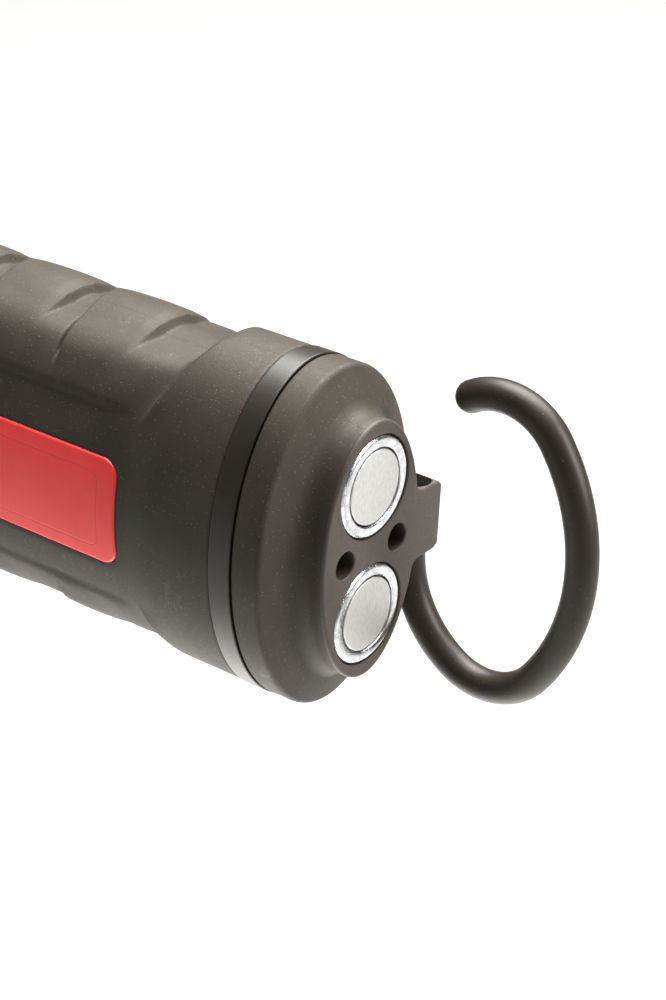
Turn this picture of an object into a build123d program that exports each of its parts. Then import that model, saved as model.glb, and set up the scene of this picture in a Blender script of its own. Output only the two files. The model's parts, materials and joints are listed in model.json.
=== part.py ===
from build123d import *
import math
import os

# Cordless LED work light: an oval stick with a magnetic tail, a rubber grip and a long lens.
#
# Frame: the origin is the centre of the magnet face. +X points out of that face, so the
# handle and the head run towards -X. -Y is the lens and label side, +Y the hook side, and
# Z runs along the tall axis of the oval section. Sizes are millimetres. A "station" is a
# distance from the magnet face towards the nose, so a station s lies at X = -s.

# ---- Cells, and the oval section built out from them as half depth (Y) and half height (Z)
cell_radius = 9.2
cell_length = 65.0
cell_gap = 0.4
cell_side_room = 4.0
cell_head_room = 3.3
shell_wall = 2.0
rubber_thickness = 2.3
collar_swell_depth = 0.8
collar_swell_height = 1.2
ring_proud = 0.5

# ---- Stations and lengths along the light
boss_height = 5.0
shoulder_slope = 1.2
cap_length = 11.6
ring_gap = 0.3
ring_width = 3.9
handle_length = 130.0
head_length = 172.0
nose_length = 14.0
collar_length = 11.0
flare_length = 7.0
spigot_length = 8.0

# ---- Magnet boss and hook lug
boss_side_margin = 3.6
boss_end_margin = 2.4
boss_rim = 0.6
boss_skin = 0.8
boot_skin = 1.4
boot_edge_radius = 1.8
shoulder_land = 0.6
boss_foot_radius = 1.2
magnet_radius = 8.0
magnet_cup_depth = 4.5
magnet_cup_wall = 1.9
magnet_cup_floor = 1.2
magnet_gap = 0.3
magnet_separation = 4.8
magnet_rim_radius = 0.7
carrier_floor = 3.0
lug_half_height = 5.8
lug_front_wall = 0.47
lug_back_wall = 0.53
lug_side_wall = 0.95
lug_corner_radius = 1.6

# ---- Hook: one bent steel wire with a vinyl coat, hinged on its upright shank
wire_radius = 1.6
coat_radius = 2.5
shank_stand_off = 0.15
shank_web_from = 0.8
shank_web_to = 2.2
shank_straight_below = 5.9
lead_bend_radius = 18.9
lead_bend_angle = 60.3
end_bend_radius = 11.1
back_bend_radius = 32.8
tip_angle = 122.0
retainer_thickness = 0.6
wire_head_overlap = 0.35
wire_head_height = 0.5
hook_lower_gap = 0.15
swing_relief = 0.4

# ---- Finger scoops along the narrow edges of the grip
scoop_pitch = 18.5
scoop_count = 5
first_scoop = 33.5
scoop_radius = 9.0
scoop_sink = 1.5

# ---- Label panel
panel_start = 34.8
panel_length = 76.0
panel_half_height = 8.7
panel_corner_radius = 3.0
panel_thickness = 1.0
panel_proud = 0.15

# ---- Cell cradle, boards, switch and charge socket
cell_nub_radius = 3.0
cell_nub_height = 0.8
cradle_start = 39.0
cradle_wall = 2.0
cradle_lip = 3.0
link_thickness = 0.2
link_half_width = 3.0
board_thickness = 1.6
board_half_length = 12.5
board_half_height = 12.0
control_inset = 16.9
switch_body = 6.0
switch_height = 3.4
switch_plunger_radius = 1.5
switch_plunger_height = 0.6
button_radius = 6.0
button_flange_width = 1.0
button_flange_thickness = 0.8
button_travel = 1.0
button_rest_gap = 0.4
button_proud = 0.9
button_edge_radius = 0.8
socket_size = 9.0
socket_length = 9.5
socket_bore_radius = 2.8
socket_bore_depth = 8.5
socket_pin_radius = 1.0
socket_pin_sink = 1.0
cover_length = 16.0
cover_height = 11.5
cover_thickness = 1.5
cover_sink = 2.05
cover_corner_radius = 2.0
cover_hinge_radius = 0.85
cover_pin_radius = 0.4
cover_pin_bite = 1.5
cover_tab_length = 1.2
cover_tab_rise = 0.5
cover_tab_half_height = 2.5

# ---- Internal leads
lead_radius = 0.7
lead_bend = 1.5
lead_run = 4.0
lead_spread = 2.0

# ---- Head
head_wall = 2.4
window_margin = 8.0
window_half_height = 18.0
window_corner_radius = 6.0
lens_thickness = 2.4
gasket_width = 0.9
reflector_sink = 9.3
reflector_thickness = 4.0
reflector_inset = 1.5
led_rows = 3
led_columns = 10
led_row_pitch = 10.5
led_size = 3.5
led_height = 0.8
cup_small_radius = 2.9
cup_large_radius = 4.7
spreader_thickness = 3.0
nose_edge_radius = 6.0

# ---- Fasteners
long_screw_radius = 1.25
long_screw_head_radius = 2.0
long_screw_head_height = 1.8
long_screw_head_station = 6.0
long_screw_length = 24.0
long_screw_offset = 6.3
screw_recess_radius = 0.9
screw_recess_depth = 0.9
screw_well_gap = 0.1
short_screw_radius = 1.1
short_screw_head_radius = 2.0
short_screw_head_height = 1.2
short_screw_length = 12.0
post_radius = 2.8
post_inset = 4.7
post_gap = 1.0

# ---- Clearances
seat_gap = 0.1
thread_gap = 0.02
shaft_gap = 0.05
coat_gap = 0.1
moving_gap = 0.3
cover_gap = 0.35
overshoot = 1.0

# ---- Oval sizes worked out from the cells
cell_spacing = 2 * cell_radius + cell_gap
bore_half_depth = cell_radius + cell_side_room
bore_half_height = cell_spacing / 2 + cell_radius + cell_head_room
spigot_half_depth = bore_half_depth - seat_gap
spigot_half_height = bore_half_height - seat_gap
shell_half_depth = bore_half_depth + shell_wall
shell_half_height = bore_half_height + shell_wall
handle_half_depth = shell_half_depth + rubber_thickness
handle_half_height = shell_half_height + rubber_thickness
collar_half_depth = handle_half_depth + collar_swell_depth
collar_half_height = handle_half_height + collar_swell_height
ring_half_depth = collar_half_depth + ring_proud
ring_half_height = collar_half_height + ring_proud
disc_half_depth = collar_half_depth - boot_skin
disc_half_height = collar_half_height - boot_skin
post_height_z = bore_half_height - post_inset

# ---- Boss, lug and hook sizes worked out from the magnets and the hook's coat
magnet_spacing = 2 * magnet_radius + magnet_separation
boss_half_depth = magnet_radius + boss_side_margin
boss_half_height = magnet_spacing / 2 + magnet_radius + boss_end_margin
shank_bore_radius = coat_radius + coat_gap
pivot_x = -(lug_front_wall + shank_bore_radius)
pivot_y = boss_half_depth + shank_stand_off + coat_radius
lug_depth = lug_back_wall + shank_bore_radius - pivot_x
lug_reach = pivot_y + shank_bore_radius + lug_side_wall
retainer_radius = coat_radius - coat_gap
screw_well_radius = long_screw_head_radius + screw_well_gap

# ---- Stations worked out from the lengths
ring_start = cap_length + ring_gap
ring_end = ring_start + ring_width
handle_start = ring_end + seat_gap
handle_end = handle_start + handle_length
neck_start = handle_end + seat_gap
neck_end = neck_start + ring_width
head_start = neck_end + seat_gap
head_end = head_start + head_length
nose_start = head_end + ring_gap
nose_end = nose_start + nose_length
cradle_end = cradle_start + cradle_wall + link_thickness + cell_length
shoulder = boss_height + shoulder_slope
control_station = handle_end - control_inset


def oval(half_depth, half_height, start, end):
    """Elliptic bar between two stations."""
    return extrude(Plane.YZ.offset(-end) * Ellipse(half_depth, half_height), amount=end - start)


def oval_taper(first, start, second, end):
    """Bar that changes from one oval to another, each given as (half depth, half height)."""
    faces = [Plane.YZ.offset(-start) * Ellipse(*first), Plane.YZ.offset(-end) * Ellipse(*second)]
    return loft(faces)


def rod_x(radius, start, end, y=0.0, z=0.0):
    """Round bar along X between two stations."""
    return extrude(Plane.YZ.offset(-end) * Pos(y, z) * Circle(radius), amount=end - start)


def rod_y(radius, y_from, y_to, station, z=0.0):
    """Round bar along Y."""
    base = Plane(origin=(-station, y_from, z), x_dir=(1, 0, 0), z_dir=(0, 1, 0))
    return extrude(base * Circle(radius), amount=y_to - y_from)


def rod_z(radius, z_from, z_to, x, y):
    """Round bar along Z."""
    return extrude(Plane.XY.offset(z_from) * Pos(x, y) * Circle(radius), amount=z_to - z_from)


def block(start, end, y_from, y_to, z_from, z_to):
    """Rectangular block between two stations."""
    centre = Pos(-(start + end) / 2, (y_from + y_to) / 2, (z_from + z_to) / 2)
    return centre * Box(end - start, y_to - y_from, z_to - z_from)


def surface_depth(half_depth, half_height, z):
    """Half depth of an oval at a height off its centre."""
    return half_depth * math.sqrt(1 - (z / half_height) ** 2)


def save(node, shape):
    export_step(shape, f"parts/{node}.step")


# ---- Tail: magnets, their carrier, the rubber boot and the trim rings


def magnet_heights():
    return {"upper": magnet_spacing / 2, "lower": -magnet_spacing / 2}


def hook_lug(grow=0.0):
    """Ear beside the boss that holds the hook's shank."""
    ear = block(
        -grow, lug_depth + grow, boss_half_depth / 2, lug_reach + grow,
        -lug_half_height - grow, lug_half_height + grow,
    )
    corners = ear.edges().filter_by(Axis.Z).sort_by(Axis.Y)[-2:]
    return fillet(corners, lug_corner_radius)


def shank_bores():
    """Stepped upright hole: coat below, bare wire through a web, retainer well above."""
    lower = rod_z(shank_bore_radius, -lug_half_height, shank_web_from, pivot_x, pivot_y)
    middle = rod_z(wire_radius + shaft_gap, shank_web_from, shank_web_to, pivot_x, pivot_y)
    upper = rod_z(shank_bore_radius, shank_web_to, lug_half_height, pivot_x, pivot_y)
    return [lower, middle, upper]


def magnet_carrier():
    rim = oval(boss_half_depth, boss_half_height, 0, boss_rim)
    core = oval(boss_half_depth - boss_skin, boss_half_height - boss_skin, 0, shoulder + boot_skin)
    disc = oval(disc_half_depth, disc_half_height, shoulder + boot_skin, ring_end)
    spigot = oval(spigot_half_depth, spigot_half_height, ring_end, ring_end + spigot_length)
    body = rim + core + disc + spigot + hook_lug()
    body -= oval(
        spigot_half_depth - shell_wall, spigot_half_height - shell_wall,
        shoulder + boot_skin + carrier_floor, ring_end + spigot_length,
    )
    for z in magnet_heights().values():
        body -= rod_x(magnet_radius + seat_gap, 0, magnet_cup_depth + seat_gap, 0, z)
    well_end = long_screw_head_station + long_screw_head_height
    for y in (-long_screw_offset, long_screw_offset):
        body += rod_x(post_radius, well_end, well_end + carrier_floor, y)
        body -= rod_x(screw_well_radius, 0, well_end, y)
        body -= rod_x(long_screw_radius + seat_gap, well_end, well_end + carrier_floor, y)
    for bore in shank_bores():
        body -= bore
    return body


def magnet_cup(z):
    cup = rod_x(magnet_radius, 0, magnet_cup_depth, 0, z)
    cup -= rod_x(magnet_radius - magnet_cup_wall, 0, magnet_cup_depth - magnet_cup_floor, 0, z)
    outer_edge = cup.edges().filter_by(GeomType.CIRCLE).group_by(Axis.X)[-1].sort_by(SortBy.RADIUS)[-1]
    return fillet(outer_edge, magnet_rim_radius)


def magnet(z):
    radius = magnet_radius - magnet_cup_wall - magnet_gap
    return rod_x(radius, 0, magnet_cup_depth - magnet_cup_floor, 0, z)


def tail_boot():
    """Rubber boot moulded over the carrier, open where the lug stands out."""
    side = oval(collar_half_depth, collar_half_height, shoulder, cap_length)
    side = fillet(side.edges().group_by(Axis.X)[-1], boot_edge_radius)
    foot_size = (boss_half_depth + boss_foot_radius, boss_half_height + boss_foot_radius)
    land = boot_edge_radius + shoulder_land
    edge_size = (collar_half_depth - land, collar_half_height - land)
    shoulder_cone = oval_taper(foot_size, boss_height, edge_size, shoulder)
    wall = oval(boss_half_depth, boss_half_height, boss_rim, shoulder)
    boot = side + shoulder_cone + wall
    boot -= oval(boss_half_depth - boss_skin, boss_half_height - boss_skin, 0, shoulder + boot_skin)
    boot -= oval(disc_half_depth, disc_half_height, shoulder + boot_skin, cap_length)
    boot -= hook_lug(shaft_gap)
    boot -= rod_z(coat_radius + swing_relief, -collar_half_height, -lug_half_height, pivot_x, pivot_y)
    return boot


def trim_ring(start, end, hole_half_depth, hole_half_height):
    ring = oval(ring_half_depth, ring_half_height, start, end)
    ring = chamfer(ring.edges(), ring_proud / 2)
    return ring - oval(hole_half_depth, hole_half_height, start, end)


def long_screws():
    screws = []
    head_end = long_screw_head_station + long_screw_head_height
    for y in (-long_screw_offset, long_screw_offset):
        screw = rod_x(long_screw_head_radius, long_screw_head_station, head_end, y)
        screw += rod_x(long_screw_radius, head_end, head_end + long_screw_length, y)
        hexagon = RegularPolygon(screw_recess_radius, 6)
        recess = Plane.YZ.offset(-long_screw_head_station) * Pos(y, 0) * hexagon
        screws.append(screw - extrude(recess, amount=-screw_recess_depth))
    return Compound(children=screws)


# ---- Hook


def loop_point(centre, radius, degrees):
    """Point on an arc in the hook's upright plane, the centre given as (out, up)."""
    angle = math.radians(degrees)
    x = pivot_x + centre[0] + radius * math.cos(angle)
    return Vector(x, pivot_y, centre[1] + radius * math.sin(angle))


def loop_arc(centre, radius, start, end):
    points = [loop_point(centre, radius, angle) for angle in (start, (start + end) / 2, end)]
    return ThreePointArc(*points)


def hook_path(top):
    """Shank, lead-in bend, bottom bend, back bend and top bend, each tangent to the next."""
    lead_centre = (lead_bend_radius, -shank_straight_below)
    step = lead_bend_radius - end_bend_radius
    lean = math.radians(lead_bend_angle)
    end_out = lead_centre[0] - step * math.cos(lean)
    end_up = lead_centre[1] - step * math.sin(lean)
    back_reach = back_bend_radius - end_bend_radius
    back_out = end_out - math.sqrt(back_reach ** 2 - end_up ** 2)
    turn = math.degrees(math.asin(-end_up / back_reach))
    start = Vector(pivot_x, pivot_y, top)
    bend_start = Vector(pivot_x, pivot_y, -shank_straight_below)
    return Wire([
        Line(start, bend_start),
        loop_arc(lead_centre, lead_bend_radius, 180, 180 + lead_bend_angle),
        loop_arc((end_out, end_up), end_bend_radius, 180 + lead_bend_angle, 360 - turn),
        loop_arc((back_out, 0), back_bend_radius, -turn, turn),
        loop_arc((end_out, -end_up), end_bend_radius, turn, tip_angle),
    ])


def hook_rope(radius, top):
    """Round section carried along the hook's path from a height on the shank."""
    section = Plane(origin=(pivot_x, pivot_y, top), z_dir=(0, 0, -1)) * Circle(radius)
    return sweep(section, path=hook_path(top))


def hook_wire():
    top = shank_web_to + hook_lower_gap + retainer_thickness
    wire = hook_rope(wire_radius, top)
    return wire + rod_z(wire_radius + wire_head_overlap, top, top + wire_head_height, pivot_x, pivot_y)


def hook_coat():
    top = shank_web_from - hook_lower_gap
    path_end = hook_path(top) @ 1
    coat = hook_rope(coat_radius, top) + Pos(path_end) * Sphere(coat_radius)
    return coat - hook_rope(wire_radius, top)


def hook_retainer():
    bottom = shank_web_to + hook_lower_gap
    washer = rod_z(retainer_radius, bottom, bottom + retainer_thickness, pivot_x, pivot_y)
    return washer - rod_z(wire_radius, bottom, bottom + retainer_thickness, pivot_x, pivot_y)


# ---- Handle


def control_openings():
    """Cuts for the button, the charge socket and its cover, shared by shell and rubber."""
    front = -collar_half_depth - overshoot
    button = rod_y(button_radius + moving_gap, front, switch_board_y(), control_station)
    half = socket_size / 2 + seat_gap
    socket = block(
        control_station - half, control_station + half, charge_board_y(), collar_half_depth, -half, half,
    )
    return button, socket


def shell_posts(side):
    """Screw posts inside one half shell; side is -1 for the front half, +1 for the back."""
    posts = []
    well_end = long_screw_head_station + long_screw_head_height + long_screw_length
    post_start = ring_end + spigot_length + seat_gap
    posts.append(rod_x(post_radius, post_start, well_end + post_gap, side * long_screw_offset))
    inner, outer = sorted((side * long_screw_offset, side * (bore_half_depth + shell_wall / 2)))
    posts.append(block(post_start, well_end + post_gap, inner, outer, -shell_wall, shell_wall))
    for station in shell_screw_stations():
        for z in (-post_height_z, post_height_z):
            low, high = sorted((0, side * surface_depth(shell_half_depth, shell_half_height, z)))
            posts.append(rod_y(post_radius, low, high, station, z))
    return posts


def shell_screw_stations():
    return (cradle_start - post_radius - post_gap, cradle_end + post_radius + post_gap)


def shell_screw_seat():
    """Depth at which the shell screws' heads rest, sunk below the shell at the heads' outer edge."""
    head_edge = post_height_z + short_screw_head_radius
    return short_screw_head_height + seat_gap - surface_depth(shell_half_depth, shell_half_height, head_edge)


def shell_screws():
    screws = []
    seat = shell_screw_seat()
    for station in shell_screw_stations():
        for z in (-post_height_z, post_height_z):
            head = rod_y(short_screw_head_radius, seat - short_screw_head_height, seat, station, z)
            shaft = rod_y(short_screw_radius, seat, seat + short_screw_length, station, z)
            screws.append(head + shaft)
    return Compound(children=screws)


def handle_shell(side):
    shell = oval(shell_half_depth, shell_half_height, handle_start, handle_end)
    shell -= oval(bore_half_depth, bore_half_height, handle_start, handle_end)
    for post in shell_posts(side):
        shell += post & oval(shell_half_depth, shell_half_height, handle_start, handle_end)
    far = collar_half_depth + overshoot
    low, high = sorted((0, side * far))
    shell &= block(handle_start, handle_end, low, high, -collar_half_height, collar_half_height)
    long_end = long_screw_head_station + long_screw_head_height + long_screw_length
    shell -= rod_x(long_screw_radius + thread_gap, handle_start, long_end, side * long_screw_offset)
    seat = shell_screw_seat()
    for station in shell_screw_stations():
        for z in (-post_height_z, post_height_z):
            shell -= rod_y(short_screw_head_radius + seat_gap, -far, seat, station, z)
            shell -= rod_y(short_screw_radius + thread_gap, seat, seat + short_screw_length, station, z)
    button, socket = control_openings()
    return shell - button - socket


def scoops():
    """Round-bottomed finger scoops across the top and bottom edges of the grip."""
    cuts = []
    for index in range(scoop_count):
        station = first_scoop + index * scoop_pitch
        for side in (-1, 1):
            z = side * (handle_half_height + scoop_radius - scoop_sink)
            cuts.append(rod_y(scoop_radius, -handle_half_depth, handle_half_depth, station, z))
    return cuts


def cover_recess():
    half = cover_height / 2 + moving_gap
    start, end = cover_stations()
    return block(
        start - moving_gap, end + cover_hinge_radius * 2 + moving_gap,
        cover_floor_y() - moving_gap, collar_half_depth + overshoot, -half, half,
    )


def grip_sleeve():
    collar = (collar_half_depth, collar_half_height)
    grip = (handle_half_depth, handle_half_height)
    front_flat = handle_start + collar_length
    back_flat = handle_end - collar_length
    sleeve = oval(*collar, handle_start, front_flat)
    sleeve += oval_taper(collar, front_flat, grip, front_flat + flare_length)
    sleeve += oval(*grip, front_flat + flare_length, back_flat - flare_length)
    sleeve += oval_taper(grip, back_flat - flare_length, collar, back_flat)
    sleeve += oval(*collar, back_flat, handle_end)
    sleeve -= oval(shell_half_depth, shell_half_height, handle_start, handle_end)
    for cut in scoops():
        sleeve -= cut
    button, socket = control_openings()
    return sleeve - button - socket - cover_recess() - cover_pin() - label_slab(seat_gap)


def label_slab(grow=0.0):
    """Rounded slab that follows the grip's side, sunk to the panel's thickness."""
    half = panel_half_height + grow
    outline = Plane.XZ * Pos(-panel_start - panel_length / 2, 0) * RectangleRounded(
        panel_length + 2 * grow, 2 * half, panel_corner_radius,
    )
    prism = extrude(outline, amount=collar_half_depth + overshoot)
    outer = (handle_half_depth + panel_proud, handle_half_height + panel_proud)
    inner = (handle_half_depth - panel_thickness, handle_half_height - panel_thickness)
    skin = oval(*outer, handle_start, handle_end) - oval(*inner, handle_start, handle_end)
    return prism & skin


# ---- Cells and electronics


def cell_stations():
    start = cradle_start + cradle_wall + link_thickness
    return start, start + cell_length


def battery_cell(z):
    start, end = cell_stations()
    can_end = end - cell_nub_height
    return rod_x(cell_radius, start, can_end, 0, z) + rod_x(cell_nub_radius, can_end, end, 0, z)


def cell_links():
    start, end = cell_stations()
    tail = block(
        start - link_thickness, start, -link_half_width, link_half_width, -cell_spacing / 2, cell_spacing / 2,
    )
    nose = block(
        end, end + link_thickness, -link_half_width, link_half_width, -cell_spacing / 2, cell_spacing / 2,
    )
    return Compound(children=[tail, nose])


def battery_cradle():
    """Open-fronted plastic cradle that holds both cells against the back half shell."""
    start, end = cell_stations()
    cradle = oval(spigot_half_depth, spigot_half_height, cradle_start, end)
    tail_wall_end = start - link_thickness
    for z in (-cell_spacing / 2, cell_spacing / 2):
        cradle -= rod_x(cell_radius + seat_gap, tail_wall_end, end + overshoot, 0, z)
    cradle -= block(
        tail_wall_end, end + overshoot, -handle_half_depth, -cradle_lip, -handle_half_height, handle_half_height,
    )
    cradle -= block(
        tail_wall_end, end + overshoot, -handle_half_depth, link_half_width, -cell_spacing / 2, cell_spacing / 2,
    )
    return cradle


def control_board(y_from):
    return block(
        control_station - board_half_length, control_station + board_half_length,
        y_from, y_from + board_thickness, -board_half_height, board_half_height,
    )


def button_flange_radius():
    return button_radius + button_flange_width


def button_back_y():
    """Back face of the button, whose flange just clears the bore all round."""
    bore_at_flange = surface_depth(bore_half_depth, bore_half_height, button_flange_radius())
    return button_flange_thickness + moving_gap - bore_at_flange


def switch_board_y():
    """Front face of the switch board, which lets the button travel before it meets the plunger."""
    return button_back_y() + button_travel + button_rest_gap + switch_plunger_height + switch_height


def button_switch():
    face = switch_board_y() - switch_height
    body = block(
        control_station - switch_body / 2, control_station + switch_body / 2,
        face, switch_board_y(), -switch_body / 2, switch_body / 2,
    )
    return body + rod_y(switch_plunger_radius, face - switch_plunger_height, face, control_station)


def power_button():
    outer = -handle_half_depth - button_proud
    back = button_back_y()
    cap = rod_y(button_radius, outer, back, control_station)
    cap = fillet(cap.edges().group_by(Axis.Y)[0], button_edge_radius)
    return cap + rod_y(button_flange_radius(), back - button_flange_thickness, back, control_station)


def cover_floor_y():
    return handle_half_depth - cover_sink


def socket_face_y():
    return cover_floor_y() - cover_gap


def charge_board_y():
    return socket_face_y() - socket_length - board_thickness


def charge_socket():
    half = socket_size / 2
    face = socket_face_y()
    body = block(control_station - half, control_station + half, face - socket_length, face, -half, half)
    return body - rod_y(socket_bore_radius, face - socket_bore_depth, face, control_station)


def socket_pin():
    face = socket_face_y()
    pin = rod_y(socket_pin_radius, face - socket_bore_depth, face - socket_pin_sink, control_station)
    return fillet(pin.edges().group_by(Axis.Y)[-1], socket_pin_radius / 2)


def cover_stations():
    return control_station - cover_length / 2, control_station + cover_length / 2


def charge_cover():
    """Rubber flap with a hinge roll on its head-side edge and a lift tab on the other."""
    start, end = cover_stations()
    half = cover_height / 2
    floor = cover_floor_y()
    top = floor + cover_thickness
    plate = block(start, end, floor, top, -half, half)
    plate = fillet(plate.edges().filter_by(Axis.Y).group_by(Axis.X)[-1], cover_corner_radius)
    x, y = cover_hinge_point()
    roll = rod_z(cover_hinge_radius, -half, half, x, y)
    neck = block(end, -x, y - cover_hinge_radius / 2, y + cover_hinge_radius / 2, -half, half)
    tab = block(
        start, start + cover_tab_length, floor, top + cover_tab_rise,
        -cover_tab_half_height, cover_tab_half_height,
    )
    return plate + roll + neck + tab - rod_z(cover_pin_radius + shaft_gap, -half, half, x, y)


def cover_pin():
    """Steel pin through the cover's roll, held by the rubber at both ends."""
    half = cover_height / 2 + moving_gap + cover_pin_bite
    return rod_z(cover_pin_radius, -half, half, *cover_hinge_point())


def cover_hinge_point():
    """X and Y of the charge cover's hinge line."""
    end = cover_stations()[1]
    return -(end + cover_hinge_radius), cover_floor_y() + cover_hinge_radius


# ---- Head


def window_span():
    return head_start + window_margin, head_end - window_margin


def window_prism(grow):
    """Rounded bar through the lens side of the head."""
    start, end = window_span()
    outline = Plane.XZ * Pos(-(start + end) / 2, 0) * RectangleRounded(
        end - start + 2 * grow, 2 * (window_half_height + grow), window_corner_radius + grow,
    )
    return extrude(outline, amount=collar_half_depth + overshoot)


def head_skin(wall):
    """Oval tube at the head's outer surface, as thick as the wall given."""
    tube = oval(collar_half_depth, collar_half_height, head_start, head_end)
    return tube - oval(collar_half_depth - wall, collar_half_height - wall, head_start, head_end)


def head_housing():
    body = oval(collar_half_depth, collar_half_height, head_start, head_end)
    body += oval(spigot_half_depth, spigot_half_height, handle_end - spigot_length, head_start)
    cavity = oval(
        collar_half_depth - head_wall, collar_half_height - head_wall,
        head_start + head_wall, head_end - head_wall,
    )
    body -= cavity
    body -= oval(
        spigot_half_depth - shell_wall, spigot_half_height - shell_wall,
        handle_end - spigot_length, head_start + head_wall,
    )
    for z in (-post_height_z, post_height_z):
        body += rod_x(post_radius, head_end - short_screw_length, head_end, 0, z)
        body -= rod_x(short_screw_radius + thread_gap, head_end - short_screw_length, head_end, 0, z)
    return body - window_prism(gasket_width + 2 * shaft_gap)


def lens():
    return window_prism(0) & head_skin(lens_thickness)


def lens_gasket():
    ring = window_prism(gasket_width + shaft_gap) - window_prism(shaft_gap)
    return ring & head_skin(lens_thickness)


def led_places():
    """Station and height of every LED."""
    start, end = window_span()
    column_pitch = (end - start) / led_columns
    places = []
    for column in range(led_columns):
        for row in range(led_rows):
            places.append((start + (column + 0.5) * column_pitch, (row - (led_rows - 1) / 2) * led_row_pitch))
    return places


def reflector_front_y():
    return reflector_sink - collar_half_depth


def led_plate(y_from, thickness):
    """Flat plate as wide and as long as the LED field."""
    start, end = window_span()
    half = window_half_height - reflector_inset
    return block(start, end, y_from, y_from + thickness, -half, half)


def reflector():
    """White tray with one flared cup for every LED."""
    front = reflector_front_y()
    tray = led_plate(front, reflector_thickness)
    for station, z in led_places():
        place = Plane(origin=(-station, front, z), z_dir=(0, 1, 0))
        cup = place.offset(reflector_thickness / 2) * Cone(
            cup_large_radius, cup_small_radius, reflector_thickness,
        )
        tray -= cup
    return tray


def led_board():
    return led_plate(reflector_front_y() + reflector_thickness, board_thickness)


def leds():
    board = reflector_front_y() + reflector_thickness
    half = led_size / 2
    return Compound(children=[
        block(station - half, station + half, board - led_height, board, z - half, z + half)
        for station, z in led_places()
    ])


def heat_spreader():
    """Aluminium bar behind the LED board, seated on the head's side walls."""
    start, end = window_span()
    front = reflector_front_y() + reflector_thickness + board_thickness
    plate = block(
        start, end, front, front + spreader_thickness, -collar_half_height, collar_half_height,
    )
    inside = oval(
        collar_half_depth - head_wall - seat_gap, collar_half_height - head_wall - seat_gap, start, end,
    )
    spreader = plate & inside
    for z in (-post_height_z, post_height_z):
        spreader -= rod_x(post_radius + seat_gap, head_end - short_screw_length, head_end, 0, z)
    return spreader


def nose_cap():
    cap = oval(ring_half_depth, ring_half_height, nose_start, nose_end)
    cap = fillet(cap.edges().group_by(Axis.X)[0], nose_edge_radius)
    seat = nose_start + nose_length / 2
    for z in (-post_height_z, post_height_z):
        cap -= rod_x(screw_well_radius, seat, nose_end, 0, z)
        cap -= rod_x(short_screw_radius + seat_gap, nose_start, seat, 0, z)
    return cap


def nose_screws():
    seat = nose_start + nose_length / 2
    screws = []
    for z in (-post_height_z, post_height_z):
        head = rod_x(short_screw_head_radius, seat, seat + short_screw_head_height, 0, z)
        screws.append(head + rod_x(short_screw_radius, seat - short_screw_length, seat, 0, z))
    return Compound(children=screws)


# ---- Leads, each a straight run with one tangent bend at either end


def lead(points):
    path = FilletPolyline(*points, radius=lead_bend)
    section = Plane(origin=points[0], z_dir=Vector(*points[1]) - Vector(*points[0])) * Circle(lead_radius)
    return sweep(section, path=path)


def battery_leads():
    """Pair from the cell links to the edge of the charge board."""
    start = cell_stations()[1] + link_thickness
    board_start = control_station - board_half_length
    level = charge_board_y() + board_thickness / 2
    rise = start + lead_run
    leads = []
    for z in (-lead_spread, lead_spread):
        leads.append(lead([(-start, 0, z), (-rise, 0, z), (-rise, level, z), (-board_start, level, z)]))
    return Compound(children=leads)


def led_leads():
    """Pair from the switch board through the neck to the back of the LED board."""
    board_end = control_station + board_half_length
    led_end = window_span()[0]
    level = switch_board_y() + board_thickness / 2
    led_level = reflector_front_y() + reflector_thickness + board_thickness / 2
    leads = []
    for z in (-lead_spread, lead_spread):
        leads.append(lead([
            (-board_end, level, z), (-board_end - lead_run, level, z),
            (-led_end + lead_run, led_level, z), (-led_end, led_level, z),
        ]))
    return Compound(children=leads)


def build():
    os.makedirs("parts", exist_ok=True)
    save("magnet_carrier", magnet_carrier())
    for name, z in magnet_heights().items():
        save(f"{name}_magnet_cup", magnet_cup(z))
        save(f"{name}_magnet", magnet(z))
    save("tail_boot", tail_boot())
    save("tail_trim_ring", trim_ring(ring_start, ring_end, disc_half_depth, disc_half_height))
    save("tail_screws", long_screws())
    save("hook_wire", hook_wire())
    save("hook_coat", hook_coat())
    save("hook_retainer", hook_retainer())
    save("front_handle_shell", handle_shell(-1))
    save("back_handle_shell", handle_shell(1))
    save("shell_screws", shell_screws())
    save("grip_sleeve", grip_sleeve())
    save("label_panel", label_slab())
    for name, side in (("upper", 1), ("lower", -1)):
        save(f"{name}_battery_cell", battery_cell(side * cell_spacing / 2))
    save("battery_cradle", battery_cradle())
    save("cell_links", cell_links())
    save("charge_board", control_board(charge_board_y()))
    save("switch_board", control_board(switch_board_y()))
    save("button_switch", button_switch())
    save("power_button", power_button())
    save("charge_socket", charge_socket())
    save("socket_pin", socket_pin())
    save("charge_cover", charge_cover())
    save("cover_pin", cover_pin())
    save("battery_leads", battery_leads())
    save("led_leads", led_leads())
    save("neck_trim_ring", trim_ring(neck_start, neck_end, spigot_half_depth, spigot_half_height))
    save("head_housing", head_housing())
    save("lens", lens())
    save("lens_gasket", lens_gasket())
    save("reflector", reflector())
    save("led_board", led_board())
    save("leds", leds())
    save("heat_spreader", heat_spreader())
    save("nose_cap", nose_cap())
    save("nose_screws", nose_screws())


build()
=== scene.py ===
import json
import math

import bmesh
import bpy
import numpy as np
from mathutils import Matrix, Vector


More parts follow.
